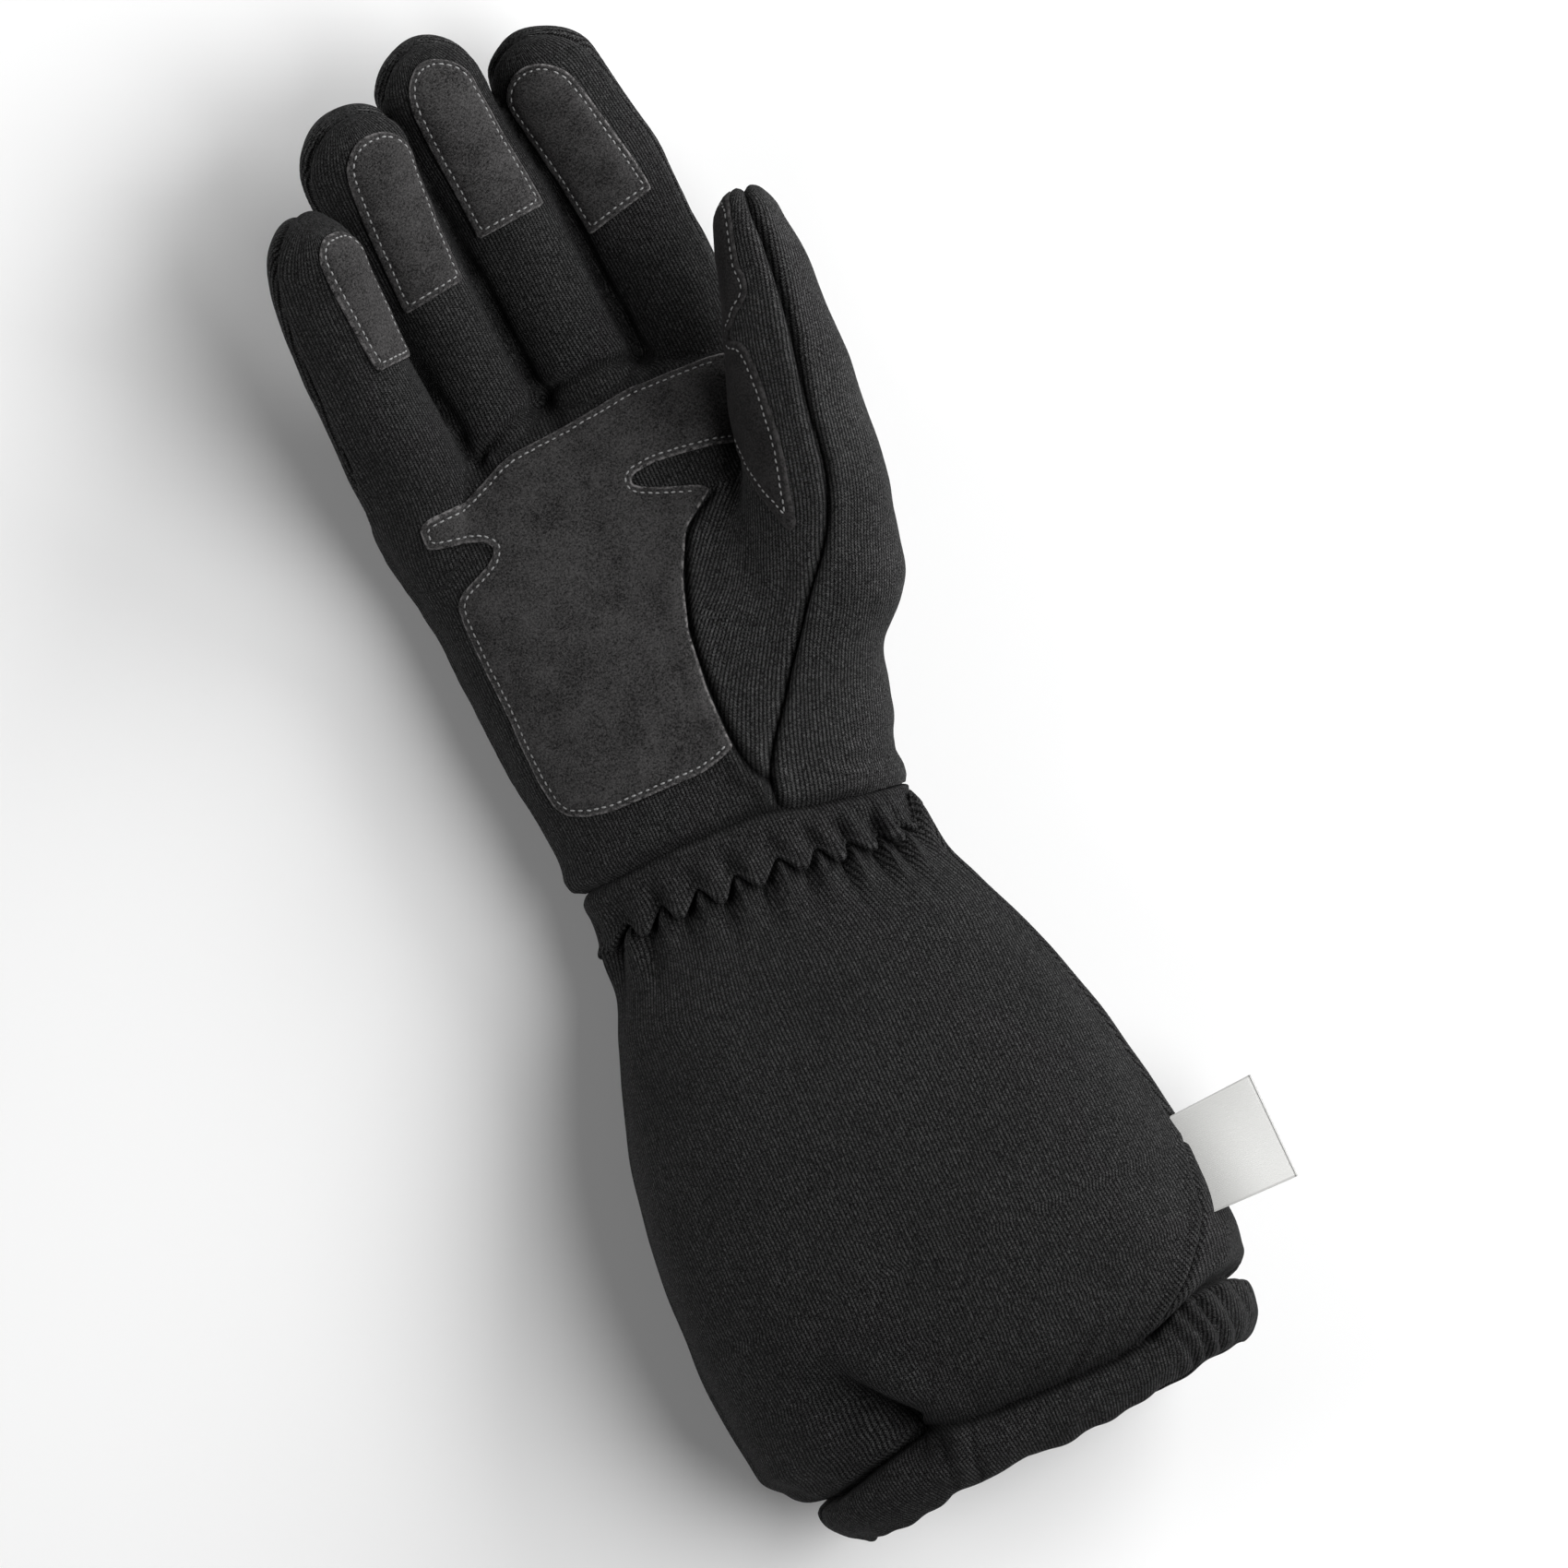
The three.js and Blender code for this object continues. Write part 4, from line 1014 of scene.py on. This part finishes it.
# Band between the wrist seam and the zigzag
def build_band(name):
    wrap = ring(int(GIRTH / (CLOTH_STEP * BAND_FINER)))
    c = GIRTH_TOP - wrap.share * wrap.length(GATHER_Y)
    share, past, lift, _ = table_columns(BAND_ROWS, int(BAND_RUN / CLOTH_STEP))
    top = read_line(WRIST_SEAM, wrap.at(BAND_TOP_Y)[:, 0])
    base = wrap.at(mix(top, zigzag_y(c), share) + past)
    x, _, z = np.moveaxis(base, -1, 0)
    shown = ramp("band shown", lift)
    palmward = ramp("band palm side", z)
    tongues = TONGUE_SUNK + TONGUE_PUFF * (1 + uneven("band tongues", c, 0)) * tooth_wave(c)
    crumpled = (CRUMPLED + CRUMPLED_MORE * ramp("crumpled", x) * palmward) * ramp("crumpled rows", share)
    more = crumpled * uneven("band", c, base[..., 1] * CRUMPLED_LONGER) - tongues * ramp("tongues", share)
    more += relief("band folds", x[0]) * np.sin(TURN * c / BAND_FOLD_PITCH) * palmward
    more = more * (1 - BAND_CALM * ramp("band by thumb", x)) - BAND_THINNER * ramp("thin band", x)
    return ring_piece(name, base, lift + shown * more, c * BAND_STRETCH)


# Hem, a casing under the crease
def build_hem(name):
    girth = body_arc(HEM_Y, 0, TURN)[1]
    wrap = ring(int(girth / CLOTH_STEP))
    x = wrap.at(HEM_Y)[:, 0]
    right, left = RIGHT_ANGLE / TURN * girth, LEFT_ANGLE / TURN * girth
    place = wrap.share * girth
    front = (place > right) & (place < left)
    behind = np.mod(place - left, girth) / (girth - left + right)
    crease, edge = [np.where(front, read_line(palm, x), read_line(back, behind))
                    for palm, back in ((CREASE, BACK_CREASE), (HEM_EDGE, BACK_HEM_EDGE))]
    share, up, lift, rolled, row = table_columns(HEM_ROWS, int(HEM_RUN / CLOTH_STEP))
    y = mix(crease, edge, share) + up
    shown = ramp("hem shown", lift)
    slanted = place + HEM_SLANT * (y - crease) * np.where(x < HEM_SLANT_TURNS_X, 1.0, -1.0)
    ridges = RIDGE_HEIGHT * (np.abs(ripple("hem", slanted)) ** RIDGE_SHARPNESS - RIDGE_LEVEL)
    lift = lift + shown * (ridges * (RIDGE_LEAST + relief("hem ridges", x)) + uneven("hem", place, y))
    # Inside the mouth the cloth under the fold sags in one soft hump
    fold = mix(fold_relief(x, crease), relief("fold, mouth", x), ramp("hem inside", row))
    lift = lift + rolled * (FOLD_IN_CREASE * front * fold - roll(x, front)[0])
    base = wrap.at(y)
    base[..., 1] += uneven("hem edge", place, 0) * ramp("hem edge", share)
    return ring_piece(name, base, lift, place)


pieces = build_hand()
pieces["gauntlet_front"] = build_gauntlet("gauntlet_front.knit", right_angle, lambda y: LEFT_ANGLE, True)
pieces["gauntlet_back"] = build_gauntlet(
    "gauntlet_back.knit", lambda y: LEFT_ANGLE, lambda y: right_angle(y) + TURN, False)
pieces["wrist_band"] = build_band("wrist_band.knit")
pieces["hem"] = build_hem("hem.knit")


def closed(points):
    return np.vstack([points, points[:1]])


# Closed outline cut into even steps, its corners a little rounded
def even_outline(corners):
    loop = closed(corners)
    length = run_length(loop)
    places = np.linspace(0, length[-1], int(length[-1] / EDGE_STEP), endpoint=False)
    even = interpolate(places, length, loop)
    for _ in range(EDGE_ROUNDS):
        even = mix(even, (np.roll(even, 1, 0) + np.roll(even, -1, 0)) / 2, 0.5)
    return even


def outline_distance(outline, points):
    return np.abs(line_distance(closed(outline), *points.T))


def inside_outline(outline, points):
    x, y = points.T
    within = np.zeros(len(points), bool)
    for (ax, ay), (bx, by) in zip(outline, np.roll(outline, -1, 0)):
        if ay != by:
            within ^= ((ay > y) != (by > y)) & (x < (bx - ax) * (y - ay) / (by - ay) + ax)
    return within


# Ring of points inside an outline at one distance, without those that come too near its other parts
def inset(outline, distance):
    along = unit(np.roll(outline, -1, 0) - np.roll(outline, 1, 0))
    x, y = outline.T
    turning = (x * np.roll(y, -1) - np.roll(x, -1) * y).sum()
    ring = outline + along[:, ::-1] * [-1, 1] * math.copysign(distance, turning)
    return ring[outline_distance(outline, ring) > distance * INSET_KEPT]


# Triangles that fill an outline
def fill_outline(outline):
    low, high = outline.min(0), outline.max(0)
    grid = []
    for i, y in enumerate(np.arange(low[1], high[1], PATCH_STEP * ROW_SHARE)):
        x = np.arange(low[0] + (i % 2) * PATCH_STEP / 2, high[0], PATCH_STEP)
        grid.append(np.stack([x, np.full_like(x, y)], 1))
    grid = np.concatenate(grid)
    grid = grid[inside_outline(outline, grid)]
    grid = grid[outline_distance(outline, grid) > INSET_RINGS[-1] + GRID_CLEAR * PATCH_STEP]
    points = np.concatenate([outline, *[inset(outline, distance) for distance in INSET_RINGS], grid])
    filled = delaunay_2d_cdt([Vector(p) for p in points], [], [list(range(len(outline)))], 1, 1e-4)
    return np.array([tuple(v) for v in filled[0]]), np.array(filled[2])


# Where each patch lies: starts inside the hand and directions outwards, for points of its outline
def palm_rays(flat):
    x, y = flat.T
    return np.stack([x, y, body_frame(y)[2]], 1), np.tile([0.0, 0.0, 1.0], (len(flat), 1))


def digit_rays(spine, flat):
    angle = np.radians(flat[:, 0] / DEGREE_MM)
    return spine.at(spine.centre, flat[:, 1]), np.stack([np.sin(angle), 0 * angle, np.cos(angle)], 1)


# Places on a field's skin along rays, with the cloth's own relief, and outward directions there
def on_cloth(field, rays, flat):
    origins, directions = rays(flat)
    steps = np.linspace(0, RAY_REACH, RAY_STEPS)
    heights = np.stack([field(origins + directions * step) for step in steps])
    first = np.where((heights > 0).any(0), (heights > 0).argmax(0), heights[1:].argmax(0) + 1)
    near, far = steps[first - 1], steps[first]
    for _ in range(RAY_ROUNDS):
        middle = (near + far) / 2
        inside = field(origins + directions * middle[:, None]) < 0
        near, far = np.where(inside, middle, near), np.where(inside, far, middle)
    places = origins + directions * far[:, None]
    outward = unit(gradient(field, places, 0.6))
    lift = np.clip(hand_relief(places, hand_place(places)), DEEPEST_UNDER_PATCH, HIGHEST_UNDER_PATCH)
    return places + outward * lift[:, None], outward


# Patch and its stitches
def build_patch(name, corners, field, rays, unsewn=None):
    outline = even_outline(corners)
    flat, faces = fill_outline(outline)
    places, outward = on_cloth(field, rays, flat)
    for _ in range(3):
        inwards = ((neighbour_mean(places, faces) - places) * outward).sum(1)
        places += outward * (SMOOTHING * inwards)[:, None]
    gap = outline_distance(outline, flat)
    height = PATCH_THICKNESS * mix(PATCH_EDGE, 1, ramp("patch edge", gap))
    height += relief("stitch channel", gap) + uneven("suede", *flat.T)
    top = places + outward * height[:, None]
    cross = np.cross(top[faces[:, 1]] - top[faces[:, 0]], top[faces[:, 2]] - top[faces[:, 0]])
    if (cross * outward[faces[:, 0]]).sum() < 0:
        faces = faces[:, ::-1]
    # Sides, down into the cloth
    edges = np.concatenate([faces[:, [0, 1]], faces[:, [1, 2]], faces[:, [2, 0]]])
    _, first, count = np.unique(np.sort(edges, 1), axis=0, return_index=True, return_counts=True)
    start, end = edges[first[count == 1]].T
    size = len(top)
    halves = [end, start, start + size], [end, start + size, end + size]
    sides = np.concatenate([np.stack(corners, 1) for corners in halves])
    raw = np.append(1 - ramp("raw edge", gap), np.ones(size))
    wale, course = np.tile(flat, (2, 1)).T
    points = np.append(top, places - outward * PATCH_SINK)
    pieces[name] = make_piece(
        name + ".suede", points, np.concatenate([faces, sides]), raw=raw, wale=wale, course=course)
    threads.append(stitch_mesh(name.replace("_patch", "_stitches") + ".thread",
                               *stitch_line(outline, field, rays, unsewn)))


# Ends and outward direction of each stitch of a running stitch inside the edge of a patch
def stitch_line(outline, field, rays, unsewn):
    loop = closed(inset(outline, STITCH_INSET))
    length = run_length(loop)
    count = int(length[-1] / STITCH_PITCH)
    rng = np.random.default_rng(RANDOM_SEED + count)
    middles = (np.arange(count) + 0.5 + rng.uniform(-STITCH_ALONG, STITCH_ALONG, count)) * length[-1] / count
    ends = []
    for side in (-0.5, 0.5):
        flat = interpolate(np.clip(middles + side * STITCH_LENGTH, 0, length[-1]), length, loop)
        flat += rng.normal(0, STITCH_ASIDE, flat.shape)
        places, outward = on_cloth(field, rays, flat)
        ends.append(places + outward * STITCH_HEIGHT)
    kept = np.linalg.norm(ends[1] - ends[0], axis=1) < LONGEST_STITCH
    if unsewn:
        kept &= ~unsewn(flat)
    return ends[0][kept], ends[1][kept], outward[kept]


def stitch_mesh(name, starts, ends, outward):
    along = unit(ends - starts)
    side = unit(np.cross(along, outward))[:, None]
    up = np.cross(side, along[:, None])
    turn = (np.arange(THREAD_SIDES) / THREAD_SIDES * TURN)[:, None]
    rings = []
    for share, width, rise in THREAD_ROWS:
        centre = mix(starts, ends, share)[:, None] + up * rise * THREAD
        outward = side * np.cos(turn) + up * THREAD_FLATNESS * np.sin(turn)
        rings.append(centre + THREAD / 2 * width * outward)
    points = np.stack(rings, 1)
    count, rows, sides = points.shape[:3]
    first = np.arange(count)[:, None, None] * rows * sides
    faces = (grid_faces(rows, sides, closed=True) + first).reshape(-1, 4)
    course = np.tile(np.repeat([share * STITCH_LENGTH for share, _, _ in THREAD_ROWS], sides), count)
    return make_piece(name, points, faces, course=course, wale=np.tile(turn.ravel(), count * rows))


def digit_outline(base, tip, corner, slope):
    y0, *base = base
    y1, *tip = tip
    (left0, right0), (left1, right1) = np.array([base, tip]) * DEGREE_MM
    points = [(left0, y0), (right0, y0 + slope)]
    for x, first in ((right1 - corner, 0), (left1 + corner, TURN / 4)):
        for t in np.linspace(first, first + TURN / 4, CORNER_POINTS):
            points.append((x + corner * math.cos(t), y1 - corner + corner * math.sin(t)))
    return points


# The palm patch is caught in the gusset seam, and its end under the thumb doesn't show
def palm_unsewn(flat):
    x, y = flat.T
    caught = np.abs(line_distance(GUSSET_LINE, x, y)) < PALM_UNSEWN["gusset_gap"]
    return caught & (y > PALM_UNSEWN["from_y"]) | (x > PALM_UNSEWN["from_x"])


threads = []
build_patch("palm_patch", PALM_PATCH, palm_field, palm_rays, palm_unsewn)
for digit, numbers in DIGIT_PATCHES.items():
    spine = SPINES[digit]
    build_patch(digit + "_patch", digit_outline(**numbers), spine.field, partial(digit_rays, spine))
thumb_outline = [(angle * DEGREE_MM, y) for y, angle in THUMB_PATCH]
build_patch("thumb_patch", thumb_outline, thumb_field, partial(digit_rays, SPINES["thumb"]))


def build_label(name):
    length = LABEL_FAR - LABEL_NEAR
    up = TURN / 4
    out = np.linspace(0, 1, LABEL_STEPS)
    run = np.concatenate([out, np.ones(LABEL_FOLD_STEPS), out[::-1]])
    turn = np.concatenate([0 * out + up, np.linspace(up, -up, LABEL_FOLD_STEPS), 0 * out - up])
    t, v = np.meshgrid(run, np.linspace(0, 1, LABEL_STEPS_ACROSS), indexing="ij")
    x = LABEL_NEAR + length * t + SATIN_FOLD * np.cos(turn)[:, None]
    lean = LABEL_LEAN * mix(LABEL_LEAN_AT_TOP, 1, v)
    y = mix(LABEL_TOP, LABEL_BOTTOM, v) - lean * t + LABEL_TAPER * t * (1 - v)
    z = LABEL_Z + LABEL_RISE * v - LABEL_DROOP * t ** 2 + SATIN_FOLD * np.sin(turn)[:, None]
    for height, along, across, power in LABEL_WAVES:
        z += height * np.sin(along * t + across * v) * t ** power
    points = np.stack([x, y, z], -1)
    half = unit(np.cross(np.gradient(points, axis=1), np.gradient(points, axis=0))) * SATIN_THICKNESS / 2
    rows, columns = t.shape
    faces = grid_faces(rows, columns)
    size = rows * columns
    number = np.arange(size).reshape(t.shape)
    loop = np.concatenate([number[0], number[1:, -1], number[-1, -2::-1], number[-2::-1, 0]])
    ahead = np.roll(loop, -1)
    sides = np.stack([loop, ahead, ahead + size, loop + size], 1)
    wale, course = t.ravel() * length, v.ravel() * (LABEL_TOP - LABEL_BOTTOM)
    return make_piece(name, np.append(points + half, points - half),
                      np.concatenate([faces, faces[:, ::-1] + size, sides]),
                      wale=np.tile(wale, 2), course=np.tile(course, 2))


pieces["label"] = build_label("label.satin")


# Materials. Colours are what the eye sees, as sRGB hex, turned to linear here
def colour(code):
    parts = [int(code[k:k + 2], 16) / 255 for k in (1, 3, 5)]
    return (*[c / 12.92 if c <= 0.04045 else ((c + 0.055) / 1.055) ** 2.4 for c in parts], 1.0)


# Adds one node with its settings, its values and its links, and gives one of its outputs
def add_node(tree, kind, inputs=(), operation=None, output=0, **settings):
    node = tree.nodes.new("ShaderNode" + kind)
    if operation:
        node.operation = operation
    for key, value in settings.items():
        setattr(node, key, value)
    for key, value in inputs.items() if isinstance(inputs, dict) else enumerate(inputs):
        if isinstance(value, bpy.types.NodeSocket):
            tree.links.new(value, node.inputs[key])
        else:
            node.inputs[key].default_value = value
    return node.outputs[output] if node.outputs else node


# Empty material, and the function that adds its nodes
def new_material(name):
    material = bpy.data.materials.new(name)
    material.use_nodes = True
    material.node_tree.nodes.clear()
    return material, partial(add_node, material.node_tree)


# Pattern sizes in millimetres, as the scale of a pattern in metres
def per_mm(size):
    return 1 / (size * MM)


# Distance from the middle of a repeat, 0 to 1
def from_middle(add, repeats):
    share = add("Math", [repeats], "FRACT")
    centred = add("Math", [share, 2.0, -1.0], "MULTIPLY_ADD")
    return add("Math", [centred], "ABSOLUTE")


# Ribbed knit of matt yarn: columns of V-shaped loops with small dark holes between them, loops that differ
# a little in tone, a faint fuzz that catches the light at the edges, and slow changes where it has rubbed
RIB_PITCH, LOOP_PITCH = 0.98, 0.66


def knit_material(name, dark, light):
    material, add = new_material(name)
    wale, course = [add("Attribute", output="Fac", attribute_name=name) for name in ("wale", "course")]
    position = add("TexCoord", output="Object")
    wobble = add("TexNoise", {"Vector": position, "Scale": per_mm(7.0), "Detail": 1.0})
    drift = add("Math", [wobble, 0.5], "MULTIPLY")
    rib = add("Math", [wale, 1 / RIB_PITCH, drift], "MULTIPLY_ADD")
    aside = from_middle(add, rib)
    slant = add("Math", [aside, -0.9, drift], "MULTIPLY_ADD")
    loop = add("Math", [course, 1 / LOOP_PITCH, slant], "MULTIPLY_ADD")
    loop_aside = from_middle(add, loop)
    # Each loop's own tone. Map range: value, from, to, new from, new to
    rib_number = add("Math", [rib], "FLOOR")
    loop_number = add("Math", [loop], "FLOOR")
    cell = add("CombineXYZ", [rib_number, loop_number])
    own = add("TexWhiteNoise", {"Vector": cell}, noise_dimensions="3D")
    own_tone = add("MapRange", [own, 0, 1, 0.7, 1.25])
    hole_across = add("MapRange", [aside, 0.35, 0.85], interpolation_type="SMOOTHSTEP")
    hole_along = add("MapRange", [loop_aside, 0.2, 0.8], interpolation_type="SMOOTHSTEP")
    hole = add("Math", [hole_across, hole_along], "MULTIPLY")
    valley = add("Math", [hole_across, 0.65, hole], "MULTIPLY_ADD")
    dip = add("Math", [hole_along, 0.45, valley], "MULTIPLY_ADD")
    fibre = add("TexNoise", {"Vector": position, "Scale": per_mm(0.5), "Detail": 3.0, "Roughness": 0.75})
    speck = add("MapRange", [fibre, 0.37, 0.63])
    worn = add("TexNoise", {"Vector": position, "Scale": per_mm(28.0), "Detail": 4.0, "Roughness": 0.6})
    yarn = add("MixRGB", [speck, colour(dark), colour(light)])
    tone = add("MapRange", [worn, 0.3, 0.7, 0.86, 1.12])
    tone = add("Math", [tone, own_tone], "MULTIPLY")
    depth = add("MapRange", [dip, 0, 1.2, 1, 0])
    tone = add("Math", [tone, depth], "MULTIPLY")
    base = add("VectorMath", {0: yarn, "Scale": tone}, "SCALE")
    height = add("Math", [dip, -1.0], "MULTIPLY")
    height = add("Math", [fibre, 0.5, height], "MULTIPLY_ADD")
    bump = add("Bump", {"Height": height, "Strength": 0.8, "Distance": 0.25 * MM})
    shader = add("BsdfPrincipled", {
        "Base Color": base, "Roughness": 0.9, "Specular IOR Level": 0.1, "Sheen Weight": 0.04,
        "Sheen Roughness": 0.5, "Sheen Tint": colour("#b8b8bc"), "Normal": bump})
    add("OutputMaterial", [shader])
    return material


# Split suede: short nap in a fine speckle with faint blotches, matt, with a paler raw edge in places
def suede_material(name, dark, light, edge):
    material, add = new_material(name)
    position = add("TexCoord", output="Object")
    raw = add("Attribute", output="Fac", attribute_name="raw")
    nap = add("TexNoise", {
        "Vector": position, "Scale": per_mm(9), "Detail": 4.0, "Roughness": 0.6, "Distortion": 0.4})
    hair = add("TexNoise", {"Vector": position, "Scale": per_mm(0.55), "Detail": 2.0, "Roughness": 0.9})
    blotches = add("MapRange", [nap, 0, 1, -0.15, 0.15])
    mixed = add("Math", [blotches, hair], "ADD")
    cover = add("ValToRGB", [mixed])
    for element, place, tone in zip(cover.node.color_ramp.elements, (0.34, 0.66), (dark, light)):
        element.position = place
        element.color = colour(tone)
    frayed = add("TexNoise", {"Vector": position, "Scale": per_mm(1.6), "Detail": 3.0, "Roughness": 0.8})
    torn = add("MapRange", [frayed, 0.45, 0.6])
    torn = add("Math", [torn, raw], "MULTIPLY")
    base = add("MixRGB", [torn, cover, colour(edge)])
    bump = add("Bump", {"Height": mixed, "Strength": 0.8, "Distance": 0.2 * MM})
    shader = add("BsdfPrincipled", {
        "Base Color": base, "Roughness": 0.95, "Specular IOR Level": 0.1, "Sheen Weight": 0.08,
        "Sheen Roughness": 0.6, "Sheen Tint": colour("#c9c4c6"), "Normal": bump})
    add("OutputMaterial", [shader])
    return material


# Spun sewing thread: pale grey, with the twist showing as fine slanted lines
def thread_material(name, tint):
    material, add = new_material(name)
    along, turn = [add("Attribute", output="Fac", attribute_name=name) for name in ("course", "wale")]
    twist = add("Math", [along, 14.0, turn], "MULTIPLY_ADD")
    twist = add("Math", [twist], "SINE")
    tone = add("MapRange", [twist, -1, 1, 0.72, 1])
    base = add("VectorMath", {0: colour(tint)[:3], "Scale": tone}, "SCALE")
    shader = add("BsdfPrincipled", {
        "Base Color": base, "Roughness": 0.7, "Specular IOR Level": 0.35, "Sheen Weight": 0.2})
    add("OutputMaterial", [shader])
    return material


# Woven satin ribbon: white with a slight sheen, and a very fine crosswise grain
def satin_material(name, tint):
    material, add = new_material(name)
    along = add("Attribute", output="Fac", attribute_name="course")
    wave = add("Math", [along, TURN / 0.45], "MULTIPLY")
    wave = add("Math", [wave], "SINE")
    bump = add("Bump", {"Height": wave, "Strength": 0.25, "Distance": 0.05 * MM})
    shader = add("BsdfPrincipled", {
        "Base Color": colour(tint), "Roughness": 0.42, "Specular IOR Level": 0.5, "Normal": bump})
    add("OutputMaterial", [shader])
    return material


# The same black knit in two tones, lit and shaded copies of one material: the lighter copy is painted light
# for the back and thumb panels on the thumb side, the darker copy is painted shade for the palm panel, wrist
# band, gauntlet and hem
KNIT = knit_material("black_ribbed_knit", "#060606", "#545454")
SHADED_KNIT = knit_material("deep_black_ribbed_knit", "#020202", "#454545")
SUEDE = suede_material("grey_split_suede", "#080808", "#424141", "#706e6e")
DARK_SUEDE = suede_material("dark_split_suede", "#070707", "#424141", "#626060")
PALE_SUEDE = suede_material("pale_split_suede", "#0a0a0a", "#444343", "#767474")
# A darker copy of the split suede for the thumb's patch: painted shade on the side of the thumb that is
# turned away from the lamps
SHADED_THUMB_SUEDE = suede_material("black_split_suede", "#060606", "#2c2b2b", "#383737")
THREAD_MATERIAL = thread_material("pale_spun_thread", "#8e8e8e")
SATIN = satin_material("white_satin_ribbon", "#a9a9a7")
# Pieces take the knit copy with painted shade unless listed as special: the back and thumb panels take the
# lighter copy with painted light
USUAL = dict(knit=SHADED_KNIT, suede=SUEDE, satin=SATIN)
SPECIAL = dict(back_panel=KNIT, thumb_panel=KNIT, ring_patch=DARK_SUEDE, middle_patch=PALE_SUEDE,
               thumb_patch=SHADED_THUMB_SUEDE)

for name, piece in pieces.items():
    slot = piece.name.split(".")[1]
    piece.data.materials.append(SPECIAL.get(name, USUAL[slot]))
    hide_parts(name)
    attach(piece, "root")
for piece in threads:
    piece.data.materials.append(THREAD_MATERIAL)
    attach(piece, "root")
padded = "palm_panel back_panel thumb_panel wrist_band gauntlet_front gauntlet_back hem"
for name in padded.split():
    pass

# Plain pale floor of matt paper
floor_mesh = bpy.data.meshes.new("floor")
corners = [(x * FLOOR_HALF, y * FLOOR_HALF, 0) for x, y in ((-1, -1), (1, -1), (1, 1), (-1, 1))]
floor_mesh.from_pydata(corners, [], [(0, 1, 2, 3)])
floor = new_object("floor", floor_mesh)
paper, add = new_material("white_paper")
add("OutputMaterial", [add("BsdfPrincipled", {"Base Color": colour("#f6f6f6"), "Roughness": 0.9})])
floor_mesh.materials.append(paper)

# Soft studio light: a large low lamp beside the fingertips, one above the thumb side, one from the other side
for name, (place, size, power) in LAMPS.items():
    lamp = bpy.data.lights.new(name, "AREA")
    lamp.shape = "DISK"
    lamp.size = size
    lamp.energy = power
    light = new_object(name, lamp)
    light.location = place
    light.rotation_euler = (-Vector(place)).to_track_quat("-Z", "Y").to_euler()
scene = bpy.context.scene
scene.world = bpy.data.worlds.new("room")
scene.world.use_nodes = True
background = scene.world.node_tree.nodes["Background"]
background.inputs["Color"].default_value = (1, 1, 1, 1)
background.inputs["Strength"].default_value = ROOM_LIGHT
scene.view_settings.view_transform = "Standard"

camera = new_object("camera", bpy.data.cameras.new("camera"))
camera.data.sensor_width = SENSOR
camera.data.lens = SENSOR * CAMERA_HEIGHT / FRAME_WIDTH
camera.data.clip_end = 20
camera.location = CAMERA_PLACE
camera.rotation_euler = (0, 0, math.radians(CAMERA_TURN))
scene.camera = camera
